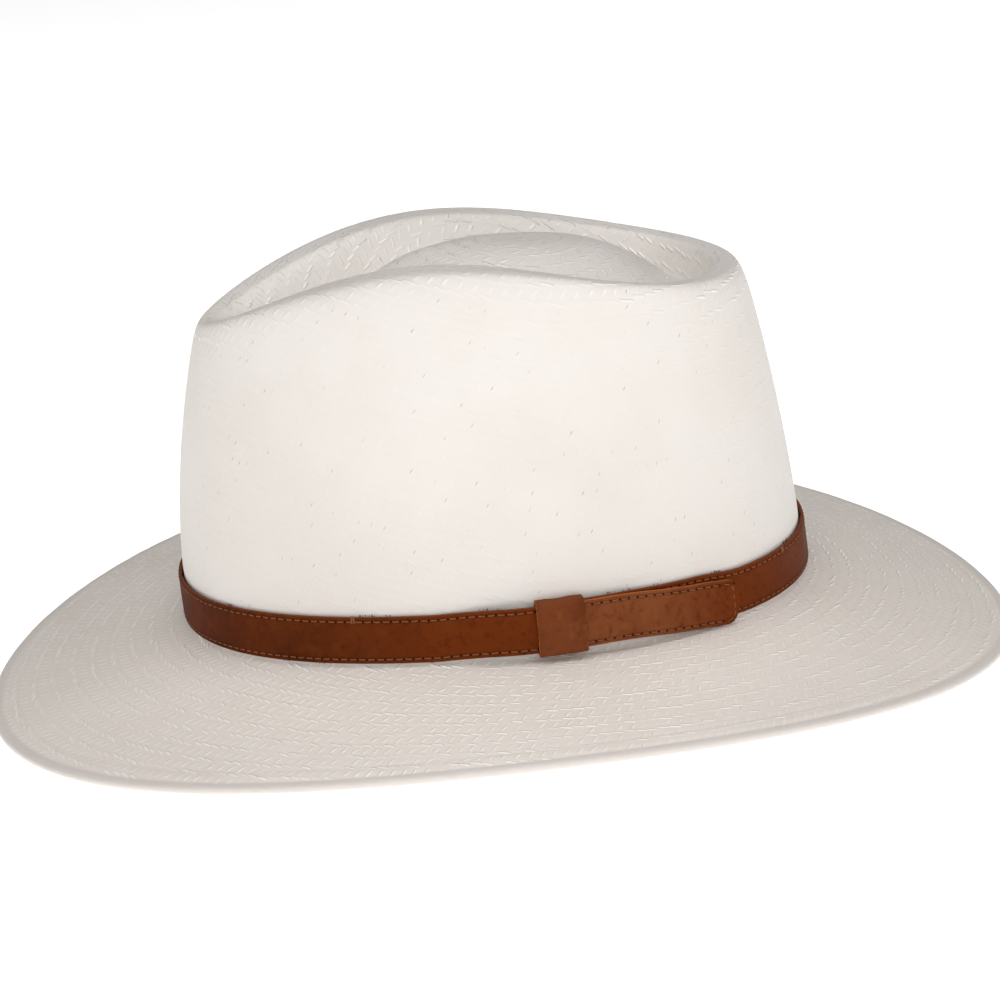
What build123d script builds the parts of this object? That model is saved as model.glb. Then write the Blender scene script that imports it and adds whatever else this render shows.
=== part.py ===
from build123d import *
import math
import os

os.makedirs("parts", exist_ok=True)

# A hat of woven toquilla straw with a teardrop crown and a narrow stitched leather band.
# Millimetres. +Z is up, the front faces -Y and +X is the wearer's left.
# A "turn" is the angle round the hat: 0 at the front, a quarter at the wearer's left, a half at the back.
# The origin is on the ground, under the middle of the resting hat.

# ---------------------------------------------------------------- straw: the line where crown meets brim
BREAK_LENGTH = 206.0  # front to back, outside of the straw
BREAK_WIDTH = 166.0
BREAK_FULLNESS = 0.016  # squares the oval, as a share of its half width
BREAK_SWAY = 1.56  # the line's ends hang this much under its mean height and its sides stand above it
BREAK_WAVE = 0.49  # slower rise to the back than to the front
BREAK_FILLET = 2.6
STRAW = 1.0  # thickness of the woven sheet

# ---------------------------------------------------------------- straw: brim
BRIM_WIDTH = 69.0  # from the crown to the folded edge, along the slope
BRIM_WIDTH_ENDS = 2.1  # wider by this at front and back, narrower at the sides
BRIM_DROOP = 11.0  # degrees under level
BRIM_DROOP_ENDS = 6.1  # steeper by this at front and back, flatter at the sides
BRIM_DROOP_REAR = 0.54
BRIM_DROOP_CORNERS = 0.38
HEM_WIDTH = 9.5  # edge turned under and sewn down

# ---------------------------------------------------------------- straw: crown
CREST_HEIGHT = 107.2  # mean height of the ridge over the break
CREST_HEIGHT_ENDS = -8.1
CREST_HEIGHT_REAR = 2.3
CREST_HEIGHT_CORNERS = 0.44
CREST_LENGTH = 157.2  # ridge to ridge, front to back
CREST_WIDTH = 86.8
CREST_LENGTH_SIDES = 0.46  # moves the ridge's ends back by this and its sides forward
CREST_LENGTH_CORNERS = 2.4  # draws the ridge's two ends further out
CREST_PINCH = 0.462  # narrows the front of the ridge and widens its back
CREST_FULLNESS = 0.06
CREST_SHIFT = -3.2  # middle of the ridge, forward of the middle of the break
WALL_TAPER = 0.62  # share of the wall's inward lean that is straight; the rest is the rounded shoulder
SHOULDER_POWER = 9.2  # higher is a tighter shoulder
WALL_SWELL = 3.9  # greatest bulge of the wall beyond its straight lean
WALL_SWELL_FRONT = 1.0
WALL_SWELL_SIDES = 1.0
WALL_SWELL_LOW = 0.84  # below 1 puts the bulge low on the wall

# ---------------------------------------------------------------- straw: top, a mound inside a groove
MOUND_HEIGHT = 113.7  # over the mean break
MOUND_CENTRE = 16.1  # behind the middle of the break
MOUND_TILT = -0.07  # falls towards the back, height per length
MOUND_FLATNESS = 3.3
GROOVE_DEPTH = 10.0  # under the ridge beside it
GROOVE_REACH = 0.77  # how far out from the mound's middle to the ridge the groove runs
GROOVE_REACH_REAR = 0.08
GROOVE_REACH_ENDS = 0.05

# ---------------------------------------------------------------- leather band round the crown
BAND_WIDTH = 14.7
BAND_LIFT = 1.55  # lower edge of the band over the break
BAND_RISE = 1.45  # the band sits this much higher along the wearer's left, from keeper to tail
RISE_TURN = 104.0  # degrees, middle of the raised stretch
RISE_REACH = 18.0  # degrees each way
RISE_RAMP = 12.0
TAIL_SAG = 2.3  # the tail's tip hangs under the band behind it
TAIL_SAG_LENGTH = 46.0
BAND_LEATHER = 1.1
BAND_LINING = 0.3
BAND_SEAT = 0.3  # gap between the straw and the lining
GLUE_LINE = 0.05
BAND_LAP_GAP = 0.3  # between the band's hidden end and the tail over it
LINING_MARGIN = 0.5  # lining kept in from the leather's edges
BAND_START_TURN = 92.0  # degrees, hidden end of the band
BAND_TIP_TURN = 130.4  # degrees, end of the tail
BAND_TIP_RADIUS = 4.5
LAP_RAMP = 12.0  # degrees over which the tail climbs onto the hidden end

# ---------------------------------------------------------------- threads
THREAD_WIDTH = 0.7
THREAD_PROUD = 0.2
THREAD_SEAT = 0.03
SEAM_MARGIN = 1.4  # seam to the band's edge
TACK_LENGTH = 3.0
TACK_WIDTH = 0.8
TACK_TURNS = (60.0, 147.5, 214.0, 304.0)  # degrees

# ---------------------------------------------------------------- keeper loop, free to slide along the band
KEEPER_TURN = 95.5  # degrees
KEEPER_LENGTH = 14.6  # along the band
KEEPER_LEATHER = 0.8
KEEPER_GAP = 0.3  # running clearance to band, thread and straw
KEEPER_EDGE_GAP = 0.35  # clearance over and under the band
KEEPER_CORNER = 0.8
KEEPER_TRAVEL = 9.0  # each way along the band
STANDOFF_RAMP = 11.0  # degrees over which the band leaves the crown to let the keeper's back pass

# ---------------------------------------------------------------- sweatband inside the crown
SWEATBAND_HEIGHT = 31.0
SWEATBAND_LEATHER = 1.0
SWEATBAND_SEAT = 0.3
SWEATBAND_FOOT = -0.4  # lower edge against the break
SWEATBAND_SEAM = 4.5  # seam over the break
REED_DIAMETER = 1.8
REED_LIFT = 1.0  # middle of the reed over the break
BOW_LENGTH = 22.0
BOW_HEIGHT = 9.0
BOW_KNOT = 3.2
BOW_THICKNESS = 0.7
BOW_LIFT = 12.0  # middle of the bow over the break

POINTS_ROUND = 72  # points of each closed line round the hat

WALL_STRAIGHT = BAND_LIFT + BAND_RISE + BAND_WIDTH + 1.2  # the wall is straight up to here, behind the band
BAND_STACK = BAND_LINING + GLUE_LINE + BAND_LEATHER
KEEPER_STANDOFF = KEEPER_GAP + KEEPER_LEATHER + KEEPER_GAP


def series(turn, mean=0.0, first=0.0, second=0.0, third=0.0, fourth=0.0):
    """A size that varies smoothly round the hat."""
    waves = (first, second, third, fourth)
    return mean + sum(size * math.cos((n + 1) * turn) for n, size in enumerate(waves))


def smooth(share):
    """0 to 1 with level ends."""
    share = min(max(share, 0.0), 1.0)
    return share * share * (3.0 - 2.0 * share)


def turns_round():
    return [2.0 * math.pi * n / POINTS_ROUND for n in range(POINTS_ROUND)]


# ---------------------------------------------------------------- surfaces of the straw
def break_point(turn):
    side = math.sin(turn) + BREAK_FULLNESS * math.sin(3.0 * turn)
    height = series(turn, second=-BREAK_SWAY, third=-BREAK_WAVE)
    return Vector(BREAK_WIDTH / 2.0 * side, -BREAK_LENGTH / 2.0 * math.cos(turn), height)


def outward(turn):
    """Level direction square to the break, away from the head."""
    step = 0.001
    along = break_point(turn + step) - break_point(turn - step)
    return Vector(along.Y, -along.X, 0.0).normalized()


def stride(turn):
    """Length along the break for each radian of turn."""
    step = 0.001
    along = break_point(turn + step) - break_point(turn - step)
    return Vector(along.X, along.Y, 0.0).length / (2.0 * step)


def crest_point(turn):
    side = math.sin(turn) + CREST_FULLNESS * math.sin(3.0 * turn)
    height = series(turn, CREST_HEIGHT, 0.0, CREST_HEIGHT_ENDS, -CREST_HEIGHT_REAR, CREST_HEIGHT_CORNERS)
    pinch = 1.0 - CREST_PINCH * math.cos(turn)
    ahead = series(turn, -CREST_SHIFT, CREST_LENGTH / 2.0, -CREST_LENGTH_SIDES, CREST_LENGTH_CORNERS)
    return Vector(CREST_WIDTH / 2.0 * side * pinch, -ahead, height)


def wall_point(turn, rise):
    """Crown wall; rise is 0 at the break and 1 at the crest."""
    low = break_point(turn)
    lean = crest_point(turn) - low
    rise = min(rise, 1.0)
    shoulder = 1.0 - (1.0 - rise ** SHOULDER_POWER) ** (1.0 / SHOULDER_POWER)
    inward = WALL_TAPER * rise + (1.0 - WALL_TAPER) * shoulder
    swell = series(turn, WALL_SWELL, WALL_SWELL_FRONT, -WALL_SWELL_SIDES)
    swell *= math.sin(math.pi * rise ** WALL_SWELL_LOW)
    level = Vector(lean.X * inward, lean.Y * inward, lean.Z * rise)
    return low + level + outward(turn) * swell


def rise_at(turn, height):
    """Share of the wall's height that lies `height` over the break."""
    return height / (crest_point(turn).Z - break_point(turn).Z)


def top_point(turn, reach):
    """Top of the crown; reach is 0 at the mound's middle and 1 at the crest."""
    crest = crest_point(turn)
    x = reach * crest.X
    y = MOUND_CENTRE + reach * (crest.Y - MOUND_CENTRE)
    groove = series(turn, GROOVE_REACH, -GROOVE_REACH_REAR, GROOVE_REACH_ENDS)
    floor = crest.Z - GROOVE_DEPTH
    if reach >= groove:
        return Vector(x, y, floor + GROOVE_DEPTH * smooth((reach - groove) / (1.0 - groove)))
    mound = (1.0 - (reach / groove) ** MOUND_FLATNESS) ** 1.5
    peak = MOUND_HEIGHT + MOUND_TILT * (y - MOUND_CENTRE)
    return Vector(x, y, floor * (1.0 - mound) + peak * mound)


def brim_point(turn, reach):
    """Top of the brim; reach is measured from the break down the slope."""
    droop = series(turn, BRIM_DROOP, 0.0, BRIM_DROOP_ENDS, -BRIM_DROOP_REAR, BRIM_DROOP_CORNERS)
    droop = math.radians(droop)
    return break_point(turn) + outward(turn) * (reach * math.cos(droop)) - Vector(0, 0, reach * math.sin(droop))


def brim_width(turn):
    return series(turn, BRIM_WIDTH, 0.0, BRIM_WIDTH_ENDS)


# ---------------------------------------------------------------- ways of closing a solid
def closed_line(points):
    return Edge.make_spline(points, periodic=True)


def skin(lines, ends=()):
    """Solid bounded by ruled faces between successive lines, and by flat ends."""
    faces = [Face.make_surface_from_curves(lines[n - 1], lines[n]) for n in range(len(lines))]
    shell = Face.sew_faces(faces + list(ends))[0]
    return Solid(Shell(shell))


def ring(corner_points):
    """Closed ring; each function in corner_points gives one corner of its section at a turn."""
    return skin([closed_line([corner(turn) for turn in turns_round()]) for corner in corner_points])


def strip(corner_points, turns):
    """Strip with two ends, with a section of the given corners at each turn."""
    lines = [Edge.make_spline([corner(turn) for turn in turns]) for corner in corner_points]
    ends = []
    for turn in (turns[0], turns[-1]):
        ends.append(Face(Wire.make_polygon([corner(turn) for corner in corner_points], close=True)))
    return skin(lines, ends)


# ---------------------------------------------------------------- woven body
def outer_rows():
    """Closed rows of points over the outside of the straw, from the mound out to the hem's fold."""
    rows = []
    for reach in (0.07, 0.14, 0.21, 0.28, 0.35, 0.42, 0.49, 0.55, 0.61, 0.66, 0.7, 0.74, 0.78):
        rows.append([top_point(turn, reach) for turn in turns_round()])
    for reach in (0.82, 0.86, 0.9, 0.93, 0.955, 0.975, 0.99):
        rows.append([top_point(turn, reach) for turn in turns_round()])
    shoulder = (1.0, 0.999, 0.995, 0.989, 0.98, 0.965, 0.94, 0.9, 0.84)
    for share in shoulder + (0.76, 0.66, 0.55, 0.45, 0.36, 0.28, 0.2, 0.13, 0.06, 0.0):
        row = []
        for turn in turns_round():
            start = rise_at(turn, WALL_STRAIGHT)
            row.append(wall_point(turn, start + (1.0 - start) * share))
        rows.append(row)
    for share in (0.0, 0.25, 0.5, 0.75, 1.0):
        rows.append([fillet_point(turn, share) for turn in turns_round()])
    for share in (0.08, 0.2, 0.35, 0.5, 0.65, 0.8, 0.9, 1.0):
        row = []
        for turn in turns_round():
            reach = BREAK_FILLET + share * (brim_width(turn) - HEM_WIDTH - BREAK_FILLET)
            row.append(brim_point(turn, reach))
        rows.append(row)
    return rows


def fillet_point(turn, share):
    """Rounding in the corner of wall and brim, from the wall at 0 to the brim at 1."""
    on_wall = band_point(turn, BREAK_FILLET, 0.0)
    corner = break_point(turn)
    on_brim = brim_point(turn, BREAK_FILLET)
    return on_wall * (1.0 - share) ** 2 + corner * (2.0 * share * (1.0 - share)) + on_brim * share ** 2


def hem_rows():
    """Rows over the top of the turned-under hem, out to its fold."""
    rows = []
    for inset in (HEM_WIDTH * 0.9, HEM_WIDTH * 0.5, STRAW):
        rows.append([brim_point(turn, brim_width(turn) - inset) for turn in turns_round()])
    return rows


def normals(rows, apex):
    """Outward normal of the surface at each point of the rows."""
    result = []
    for n, row in enumerate(rows):
        before = rows[n - 1] if n else [apex] * POINTS_ROUND
        after = rows[min(n + 1, len(rows) - 1)]
        line = []
        for k in range(POINTS_ROUND):
            round_hat = row[(k + 1) % POINTS_ROUND] - row[k - 1]
            line.append((after[k] - before[k]).cross(round_hat).normalized())
        result.append(line)
    return result


def straw_body():
    apex = top_point(0.0, 0.0)
    sheet = outer_rows()
    hem = hem_rows()
    rows = sheet + hem
    facing = normals(rows, apex)
    under = []
    for n, row in enumerate(rows):
        depth = STRAW if n < len(sheet) else 2.0 * STRAW
        under.append([point - normal * depth for point, normal in zip(row, facing[n])])
    fold = []
    for top, bottom, inside in zip(rows[-1], under[-1], rows[-2]):
        fold.append((top + bottom) * 0.5 + (top - inside).normalized() * STRAW)
    lines = [Wire([closed_line(row)]) for row in rows + [fold] + under[::-1]]
    return Solid.make_loft([Vertex(apex)] + lines + [Vertex(apex - Vector(0, 0, STRAW))], ruled=True)


def hem_thread():
    """Seam that holds the hem, on the top of the brim."""
    def corner(inset, lift):
        def place(turn):
            reach = brim_width(turn) - HEM_WIDTH + inset
            point = brim_point(turn, reach)
            slope = brim_point(turn, reach + 1.0) - point
            up = outward(turn).cross(Vector(0, 0, 1)).cross(slope).normalized()
            return point + up * lift
        return place

    low, high = THREAD_SEAT, THREAD_SEAT + THREAD_PROUD
    near = HEM_WIDTH * 0.1 + THREAD_SEAT
    far = near + THREAD_WIDTH
    return ring([corner(near, low), corner(near, high), corner(far, high), corner(far, low)])


# ---------------------------------------------------------------- leather band
def band_point(turn, height, out):
    """Point beside the straight foot of the wall, `out` away from the straw."""
    low = break_point(turn)
    high = wall_point(turn, rise_at(turn, WALL_STRAIGHT))
    return low + (high - low) * (height / WALL_STRAIGHT) + outward(turn) * out


def nearness(turn, middle, reach, ramp):
    """1 within `reach` of a place on the hat, and falling to 0 over the `ramp` beyond; all in turns."""
    away = abs((turn - middle + math.pi) % (2.0 * math.pi) - math.pi)
    return smooth(1.0 - (away - reach) / ramp)


def near_keeper(turn):
    """1 wherever the keeper can slide."""
    middle = math.radians(KEEPER_TURN)
    reach = (KEEPER_TRAVEL + KEEPER_LENGTH / 2.0 + KEEPER_GAP) / stride(middle)
    return nearness(turn, middle, reach, math.radians(STANDOFF_RAMP))


def standoff(turn):
    """Gap between straw and band: wider beside the keeper, whose back leg passes through it."""
    return BAND_SEAT + (KEEPER_STANDOFF - BAND_SEAT) * near_keeper(turn)


def band_foot(turn):
    """Height of the band's lower edge over the break. It runs level where the keeper slides."""
    rise = nearness(turn, math.radians(RISE_TURN), math.radians(RISE_REACH), math.radians(RISE_RAMP))
    level = break_point(math.radians(KEEPER_TURN)).Z - break_point(turn).Z
    tip = math.radians(BAND_TIP_TURN + 360.0)
    sag = smooth(1.0 - (tip - turn) * stride(tip) / TAIL_SAG_LENGTH)
    return BAND_LIFT + BAND_RISE * rise + level * near_keeper(turn) - TAIL_SAG * sag


def lap_lift(turn):
    """Rise of the tail over the band's hidden end; turns run past a full circle there."""
    landing = math.radians(BAND_START_TURN + 360.0 - 2.5)
    return (BAND_STACK + BAND_LAP_GAP) * smooth(1.0 - (landing - turn) / math.radians(LAP_RAMP))


def tip_inset(turn):
    """How far the tail's edges draw in towards its rounded tip."""
    tip = math.radians(BAND_TIP_TURN + 360.0)
    to_tip = (tip - turn) * stride(tip)
    if to_tip >= BAND_TIP_RADIUS:
        return 0.0
    return BAND_TIP_RADIUS - math.sqrt(BAND_TIP_RADIUS ** 2 - (BAND_TIP_RADIUS - to_tip) ** 2)


def band_turns(start_margin=0.0, tip_margin=0.0):
    """Turns along the band, from its hidden end to the tail's tip, closer together round the tip."""
    start = math.radians(BAND_START_TURN)
    start += start_margin / stride(start)
    tip = math.radians(BAND_TIP_TURN + 360.0)
    corner = BAND_TIP_RADIUS / stride(tip)
    tip -= tip_margin / stride(tip)
    count = 110
    turns = [start + (tip - corner - start) * n / count for n in range(count)]
    return turns + [tip - corner * (1.0 - math.sin(n * math.pi / 16.0)) for n in range(9)]


def on_band(turn, height, depth):
    """Point over the band's lower edge, at a depth over the lining's back."""
    return band_point(turn, band_foot(turn) + height, standoff(turn) + lap_lift(turn) + depth)


def band_strip(inner, outer, edge_margin, turns):
    """Strip of the band between two depths over the lining's back."""
    def corner(from_top, depth):
        def place(turn):
            inset = edge_margin + tip_inset(turn)
            return on_band(turn, BAND_WIDTH - inset if from_top else inset, depth)
        return place

    return strip([corner(False, inner), corner(True, inner), corner(True, outer), corner(False, outer)], turns)


def hatband_strap():
    return band_strip(BAND_LINING + GLUE_LINE, BAND_STACK, 0.0, band_turns())


def hatband_lining():
    return band_strip(0.0, BAND_LINING, LINING_MARGIN, band_turns(1.0, 1.0))


def seam(height):
    """Sewn thread along the band at a height over its lower edge."""
    def corner(up, depth):
        def place(turn):
            return on_band(turn, height + up, BAND_STACK + depth)
        return place

    low, high = THREAD_SEAT, THREAD_SEAT + THREAD_PROUD
    half = THREAD_WIDTH / 2.0
    turns = band_turns(LINING_MARGIN, BAND_TIP_RADIUS + THREAD_SEAT)
    return strip([corner(-half, low), corner(half, low), corner(half, high), corner(-half, high)], turns)


def tail_tip_thread():
    """Seam that runs round the tip and joins the two long seams."""
    tip = math.radians(BAND_TIP_TURN + 360.0)
    centre = BAND_WIDTH / 2.0 - BAND_TIP_RADIUS  # of each rounded corner, from the band's middle line
    quarter = [n * math.pi / 12.0 for n in range(7)]
    route = [(-angle, -centre) for angle in reversed(quarter)]
    route += [(0.0, centre * share) for share in (-0.5, 0.0, 0.5)]
    route += [(angle, centre) for angle in quarter]

    def corner(inset, depth):
        def place(step):
            angle, across = step
            reach = BAND_TIP_RADIUS - inset
            turn = tip - (BAND_TIP_RADIUS - reach * math.cos(angle)) / stride(tip)
            height = BAND_WIDTH / 2.0 + across + reach * math.sin(angle)
            return on_band(turn, height, BAND_STACK + depth)
        return place

    low, high = THREAD_SEAT, THREAD_SEAT + THREAD_PROUD
    near, far = SEAM_MARGIN - THREAD_WIDTH / 2.0, SEAM_MARGIN + THREAD_WIDTH / 2.0
    return strip([corner(near, low), corner(far, low), corner(far, high), corner(near, high)], route)


def hatband_tacks():
    """Short stitches that hold the band to the crown, over its upper margin."""
    tacks = []
    height = BAND_WIDTH - SEAM_MARGIN / 2.0 + THREAD_WIDTH / 4.0
    depth = BAND_STACK + THREAD_SEAT + THREAD_PROUD / 2.0
    for degrees in TACK_TURNS:
        turn = math.radians(degrees if degrees > BAND_TIP_TURN else degrees + 360.0)
        middle = on_band(turn, height, depth)
        facing = Plane(middle, x_dir=on_band(turn, height + 1.0, depth) - middle, z_dir=outward(turn))
        size = (TACK_WIDTH, TACK_LENGTH, THREAD_PROUD)
        tacks.append(facing * Box(*size))
    return Compound(children=tacks)


# ---------------------------------------------------------------- keeper
def keeper_radius():
    """Radius of the break's curve at the keeper."""
    turn = math.radians(KEEPER_TURN)
    step = 0.02
    swing = outward(turn + step).get_angle(outward(turn - step))
    path = break_point(turn + step) - break_point(turn - step)
    return Vector(path.X, path.Y, 0.0).length / math.radians(swing)


def keeper_pivot():
    """Foot of the upright line that the keeper's short slide turns about."""
    turn = math.radians(KEEPER_TURN)
    return break_point(turn) - outward(turn) * keeper_radius()


def keeper_loop():
    turn = math.radians(KEEPER_TURN)
    lean = band_point(turn, 1.0, 0.0) - break_point(turn)
    tilt = lean.dot(outward(turn))
    sliding = Plane(keeper_pivot(), x_dir=outward(turn), z_dir=outward(turn).cross(Vector(0, 0, 1)))
    inside_near = KEEPER_GAP + KEEPER_LEATHER
    layers = BAND_STACK + BAND_LAP_GAP + BAND_STACK + THREAD_SEAT + THREAD_PROUD
    inside_far = KEEPER_STANDOFF + layers + KEEPER_GAP
    inside_low = band_foot(turn) - KEEPER_EDGE_GAP
    inside_high = band_foot(turn) + BAND_WIDTH + KEEPER_EDGE_GAP

    def frame(wall):
        radius = keeper_radius()
        corners = []
        for out, height in (
            (inside_near - wall, inside_low - wall),
            (inside_far + wall, inside_low - wall),
            (inside_far + wall, inside_high + wall),
            (inside_near - wall, inside_high + wall),
        ):
            corners.append((radius + tilt * height + out, height))
        return Polygon(*corners, align=None)

    outer = frame(KEEPER_LEATHER)
    section = fillet(outer.vertices(), KEEPER_CORNER) - frame(0.0)
    angle = math.degrees(KEEPER_LENGTH / keeper_radius())
    axis = Axis(keeper_pivot(), (0, 0, 1))
    loop = revolve(sliding * section, axis, angle)
    return loop.rotate(axis, -angle / 2.0)


# ---------------------------------------------------------------- sweatband
def sweatband_point(turn, height, inward):
    """Point inside the crown, `inward` from the outside of the straw."""
    low = break_point(turn)
    high = wall_point(turn, rise_at(turn, SWEATBAND_HEIGHT))
    return low + (high - low) * (height / SWEATBAND_HEIGHT) - outward(turn) * inward


SWEATBAND_BACK = STRAW + SWEATBAND_SEAT
SWEATBAND_FACE = SWEATBAND_BACK + SWEATBAND_LEATHER


def inner_ring(low, high, back, face):
    """Ring inside the crown between two heights and two depths."""
    return ring([
        lambda turn: sweatband_point(turn, low, back),
        lambda turn: sweatband_point(turn, high, back),
        lambda turn: sweatband_point(turn, high, face),
        lambda turn: sweatband_point(turn, low, face),
    ])


def sweatband():
    return inner_ring(SWEATBAND_FOOT, SWEATBAND_HEIGHT, SWEATBAND_BACK, SWEATBAND_FACE)


def sweatband_thread():
    half = THREAD_WIDTH / 2.0
    back = SWEATBAND_FACE + THREAD_SEAT
    return inner_ring(SWEATBAND_SEAM - half, SWEATBAND_SEAM + half, back, back + THREAD_PROUD)


def sweatband_reed():
    """Round stiffening cord along the foot of the sweatband."""
    middle = SWEATBAND_FACE + GLUE_LINE + REED_DIAMETER / 2.0

    def corner(angle):
        up = REED_DIAMETER / 2.0 * math.sin(angle)
        inward = REED_DIAMETER / 2.0 * math.cos(angle)
        return lambda turn: sweatband_point(turn, REED_LIFT + up, middle + inward)

    return ring([corner(n * math.pi / 4.0) for n in range(8)])


def sweatband_bow():
    """Small ribbon bow over the sweatband's join at the back."""
    turn = math.pi
    face = SWEATBAND_FACE + GLUE_LINE
    centre = sweatband_point(turn, BOW_LIFT, face)
    end_turn = math.pi - BOW_LENGTH / 2.0 / (BREAK_WIDTH / 2.0)
    sagitta = centre.Y - sweatband_point(end_turn, BOW_LIFT, face).Y
    up = sweatband_point(turn, BOW_LIFT + 1.0, face) - centre
    seat = Plane(centre - Vector(0, sagitta, 0), x_dir=(1, 0, 0), z_dir=Vector(1, 0, 0).cross(up))
    half, tall, knot = BOW_LENGTH / 2.0, BOW_HEIGHT / 2.0, BOW_KNOT / 2.0
    outline = Polygon(
        (-half, -tall), (-knot, -knot), (knot, -knot), (half, -tall),
        (half, tall), (knot, knot), (-knot, knot), (-half, tall), align=None)
    return extrude(seat * fillet(outline.vertices(), BOW_THICKNESS), BOW_THICKNESS)


# ---------------------------------------------------------------- assembly, set on the ground
def resting_place(body):
    box = body.bounding_box()
    return Location((0.0, -(box.min.Y + box.max.Y) / 2.0, -box.min.Z))


straw = straw_body()
ground = resting_place(straw)
nodes = {
    "straw_body": straw,
    "brim_hem_thread": hem_thread(),
    "hatband_strap": hatband_strap(),
    "hatband_lining": hatband_lining(),
    "hatband_upper_thread": seam(BAND_WIDTH - SEAM_MARGIN),
    "hatband_lower_thread": seam(SEAM_MARGIN),
    "tail_tip_thread": tail_tip_thread(),
    "hatband_tacks": hatband_tacks(),
    "keeper_loop": keeper_loop(),
    "sweatband": sweatband(),
    "sweatband_thread": sweatband_thread(),
    "sweatband_reed": sweatband_reed(),
    "sweatband_bow": sweatband_bow(),
}
for name, shape in nodes.items():
    export_step(ground * shape, f"parts/{name}.step")

pivot = (ground * Vertex(keeper_pivot())).center()
print(f"keeper slides about x {pivot.X:.3f}, y {pivot.Y:.3f} at radius {keeper_radius():.2f}, "
      f"by {math.degrees(KEEPER_TRAVEL / keeper_radius()):.2f} degrees each way")
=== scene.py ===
import math

import bpy
import numpy as np
from mathutils import Matrix, Vector


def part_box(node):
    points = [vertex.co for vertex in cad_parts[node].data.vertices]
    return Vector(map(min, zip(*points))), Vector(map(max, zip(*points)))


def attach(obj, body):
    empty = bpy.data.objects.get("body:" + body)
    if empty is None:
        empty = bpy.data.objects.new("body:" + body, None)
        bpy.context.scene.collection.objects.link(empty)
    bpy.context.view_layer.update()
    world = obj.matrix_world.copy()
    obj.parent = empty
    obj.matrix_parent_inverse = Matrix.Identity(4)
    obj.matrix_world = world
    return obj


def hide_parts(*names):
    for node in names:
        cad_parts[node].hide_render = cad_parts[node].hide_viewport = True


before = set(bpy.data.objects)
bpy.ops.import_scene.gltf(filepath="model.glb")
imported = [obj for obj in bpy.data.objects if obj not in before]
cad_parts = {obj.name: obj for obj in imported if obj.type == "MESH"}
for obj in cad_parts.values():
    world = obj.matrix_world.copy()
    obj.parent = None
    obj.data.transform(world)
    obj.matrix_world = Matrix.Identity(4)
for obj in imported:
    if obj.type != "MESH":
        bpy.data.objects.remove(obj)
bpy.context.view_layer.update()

# A straw hat with a leather band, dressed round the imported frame. Metres, +Z up.
# The front of the hat faces -Y and the wearer's left is +X. A "turn" is the angle round the hat, in radians:
# 0 at the front, a quarter circle at the wearer's left, half a circle at the back.

MM = 0.001
TAU = 2.0 * math.pi

# -------- sizes of the straw, as in the part
BREAK_LENGTH = 206.0 * MM
BREAK_WIDTH = 166.0 * MM
BREAK_FULLNESS = 0.016
BREAK_SWAY = 1.56 * MM
BREAK_WAVE = 0.49 * MM
BREAK_FILLET = 2.6 * MM
STRAW = 1.0 * MM
BRIM_WIDTH = 69.0 * MM
BRIM_WIDTH_ENDS = 2.1 * MM
BRIM_DROOP = (11.0, 0.0, 6.1, -0.54, 0.38)  # degrees: mean and four waves round the hat
HEM_WIDTH = 9.5 * MM
HEM_SEAM = 1.15 * MM  # from the end of the turned straw to its stitches
HEM_STITCH_PITCH = 3.6 * MM
CREST_HEIGHT = (107.2 * MM, 0.0, -8.1 * MM, -2.3 * MM, 0.44 * MM)
CREST_AHEAD = (3.2 * MM, 78.6 * MM, -0.46 * MM, 2.4 * MM, 0.0)  # ahead of the break's middle
CREST_WIDTH = 86.8 * MM
CREST_PINCH = 0.462
CREST_FULLNESS = 0.06
WALL_TAPER = 0.62
SHOULDER_POWER = 9.2
WALL_SWELL = (3.9 * MM, 1.0 * MM, -1.0 * MM, 0.0, 0.0)
WALL_SWELL_LOW = 0.84
MOUND_HEIGHT = 113.7 * MM
MOUND_CENTRE = 16.1 * MM
MOUND_TILT = -0.07
MOUND_FLATNESS = 3.3
GROOVE_DEPTH = 10.0 * MM
GROOVE_REACH = (0.77, -0.08, 0.05, 0.0, 0.0)

# -------- sizes of the band, as in the part
BAND_WIDTH = 14.7 * MM
BAND_LIFT = 1.55 * MM
BAND_RISE = 1.45 * MM
RISE_TURN = math.radians(104.0)
RISE_REACH = math.radians(18.0)
RISE_RAMP = math.radians(12.0)
BAND_LEATHER = 1.1 * MM
BAND_LINING = 0.3 * MM
BAND_SEAT = 0.3 * MM
GLUE_LINE = 0.05 * MM
BAND_STACK = BAND_LINING + GLUE_LINE + BAND_LEATHER
BAND_LAP_GAP = 0.3 * MM
BAND_START_TURN = math.radians(92.0)
BAND_TIP_TURN = math.radians(130.4)
TIP_LOW, TIP_HIGH = 5.0 * MM, 2.6 * MM  # the tip's two corners, cut by hand
LAP_RAMP = math.radians(12.0)
LAP_LANDING = math.radians(2.5)
STANDOFF_RAMP = math.radians(11.0)
WALL_STRAIGHT = BAND_LIFT + BAND_RISE + BAND_WIDTH + 1.2 * MM
SEAM_MARGIN = 1.4 * MM
STITCH_PITCH = 2.9 * MM
STITCH_LENGTH = 2.2 * MM
THREAD_RADIUS = 0.22 * MM
TACK_TURNS = [math.radians(degrees) for degrees in (60.0, 147.5, 214.0, 304.0)]
KEEPER_TURN = math.radians(95.5)
KEEPER_LENGTH = 14.6 * MM
KEEPER_LEATHER = 0.8 * MM
KEEPER_GAP = 0.3 * MM
KEEPER_EDGE_GAP = 0.35 * MM
KEEPER_TRAVEL = 9.0 * MM
KEEPER_STANDOFF = KEEPER_GAP + KEEPER_LEATHER + KEEPER_GAP
KEEPER_SLACK = 0.23 * MM  # over the tail
KEEPER_BEND = 0.5 * MM  # radius of the inner corners
TAIL_SAG = 2.3 * MM
TAIL_SAG_LENGTH = 46.0 * MM
FIBRE_TUFTS = 70
FIBRE_SEED = 7

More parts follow.
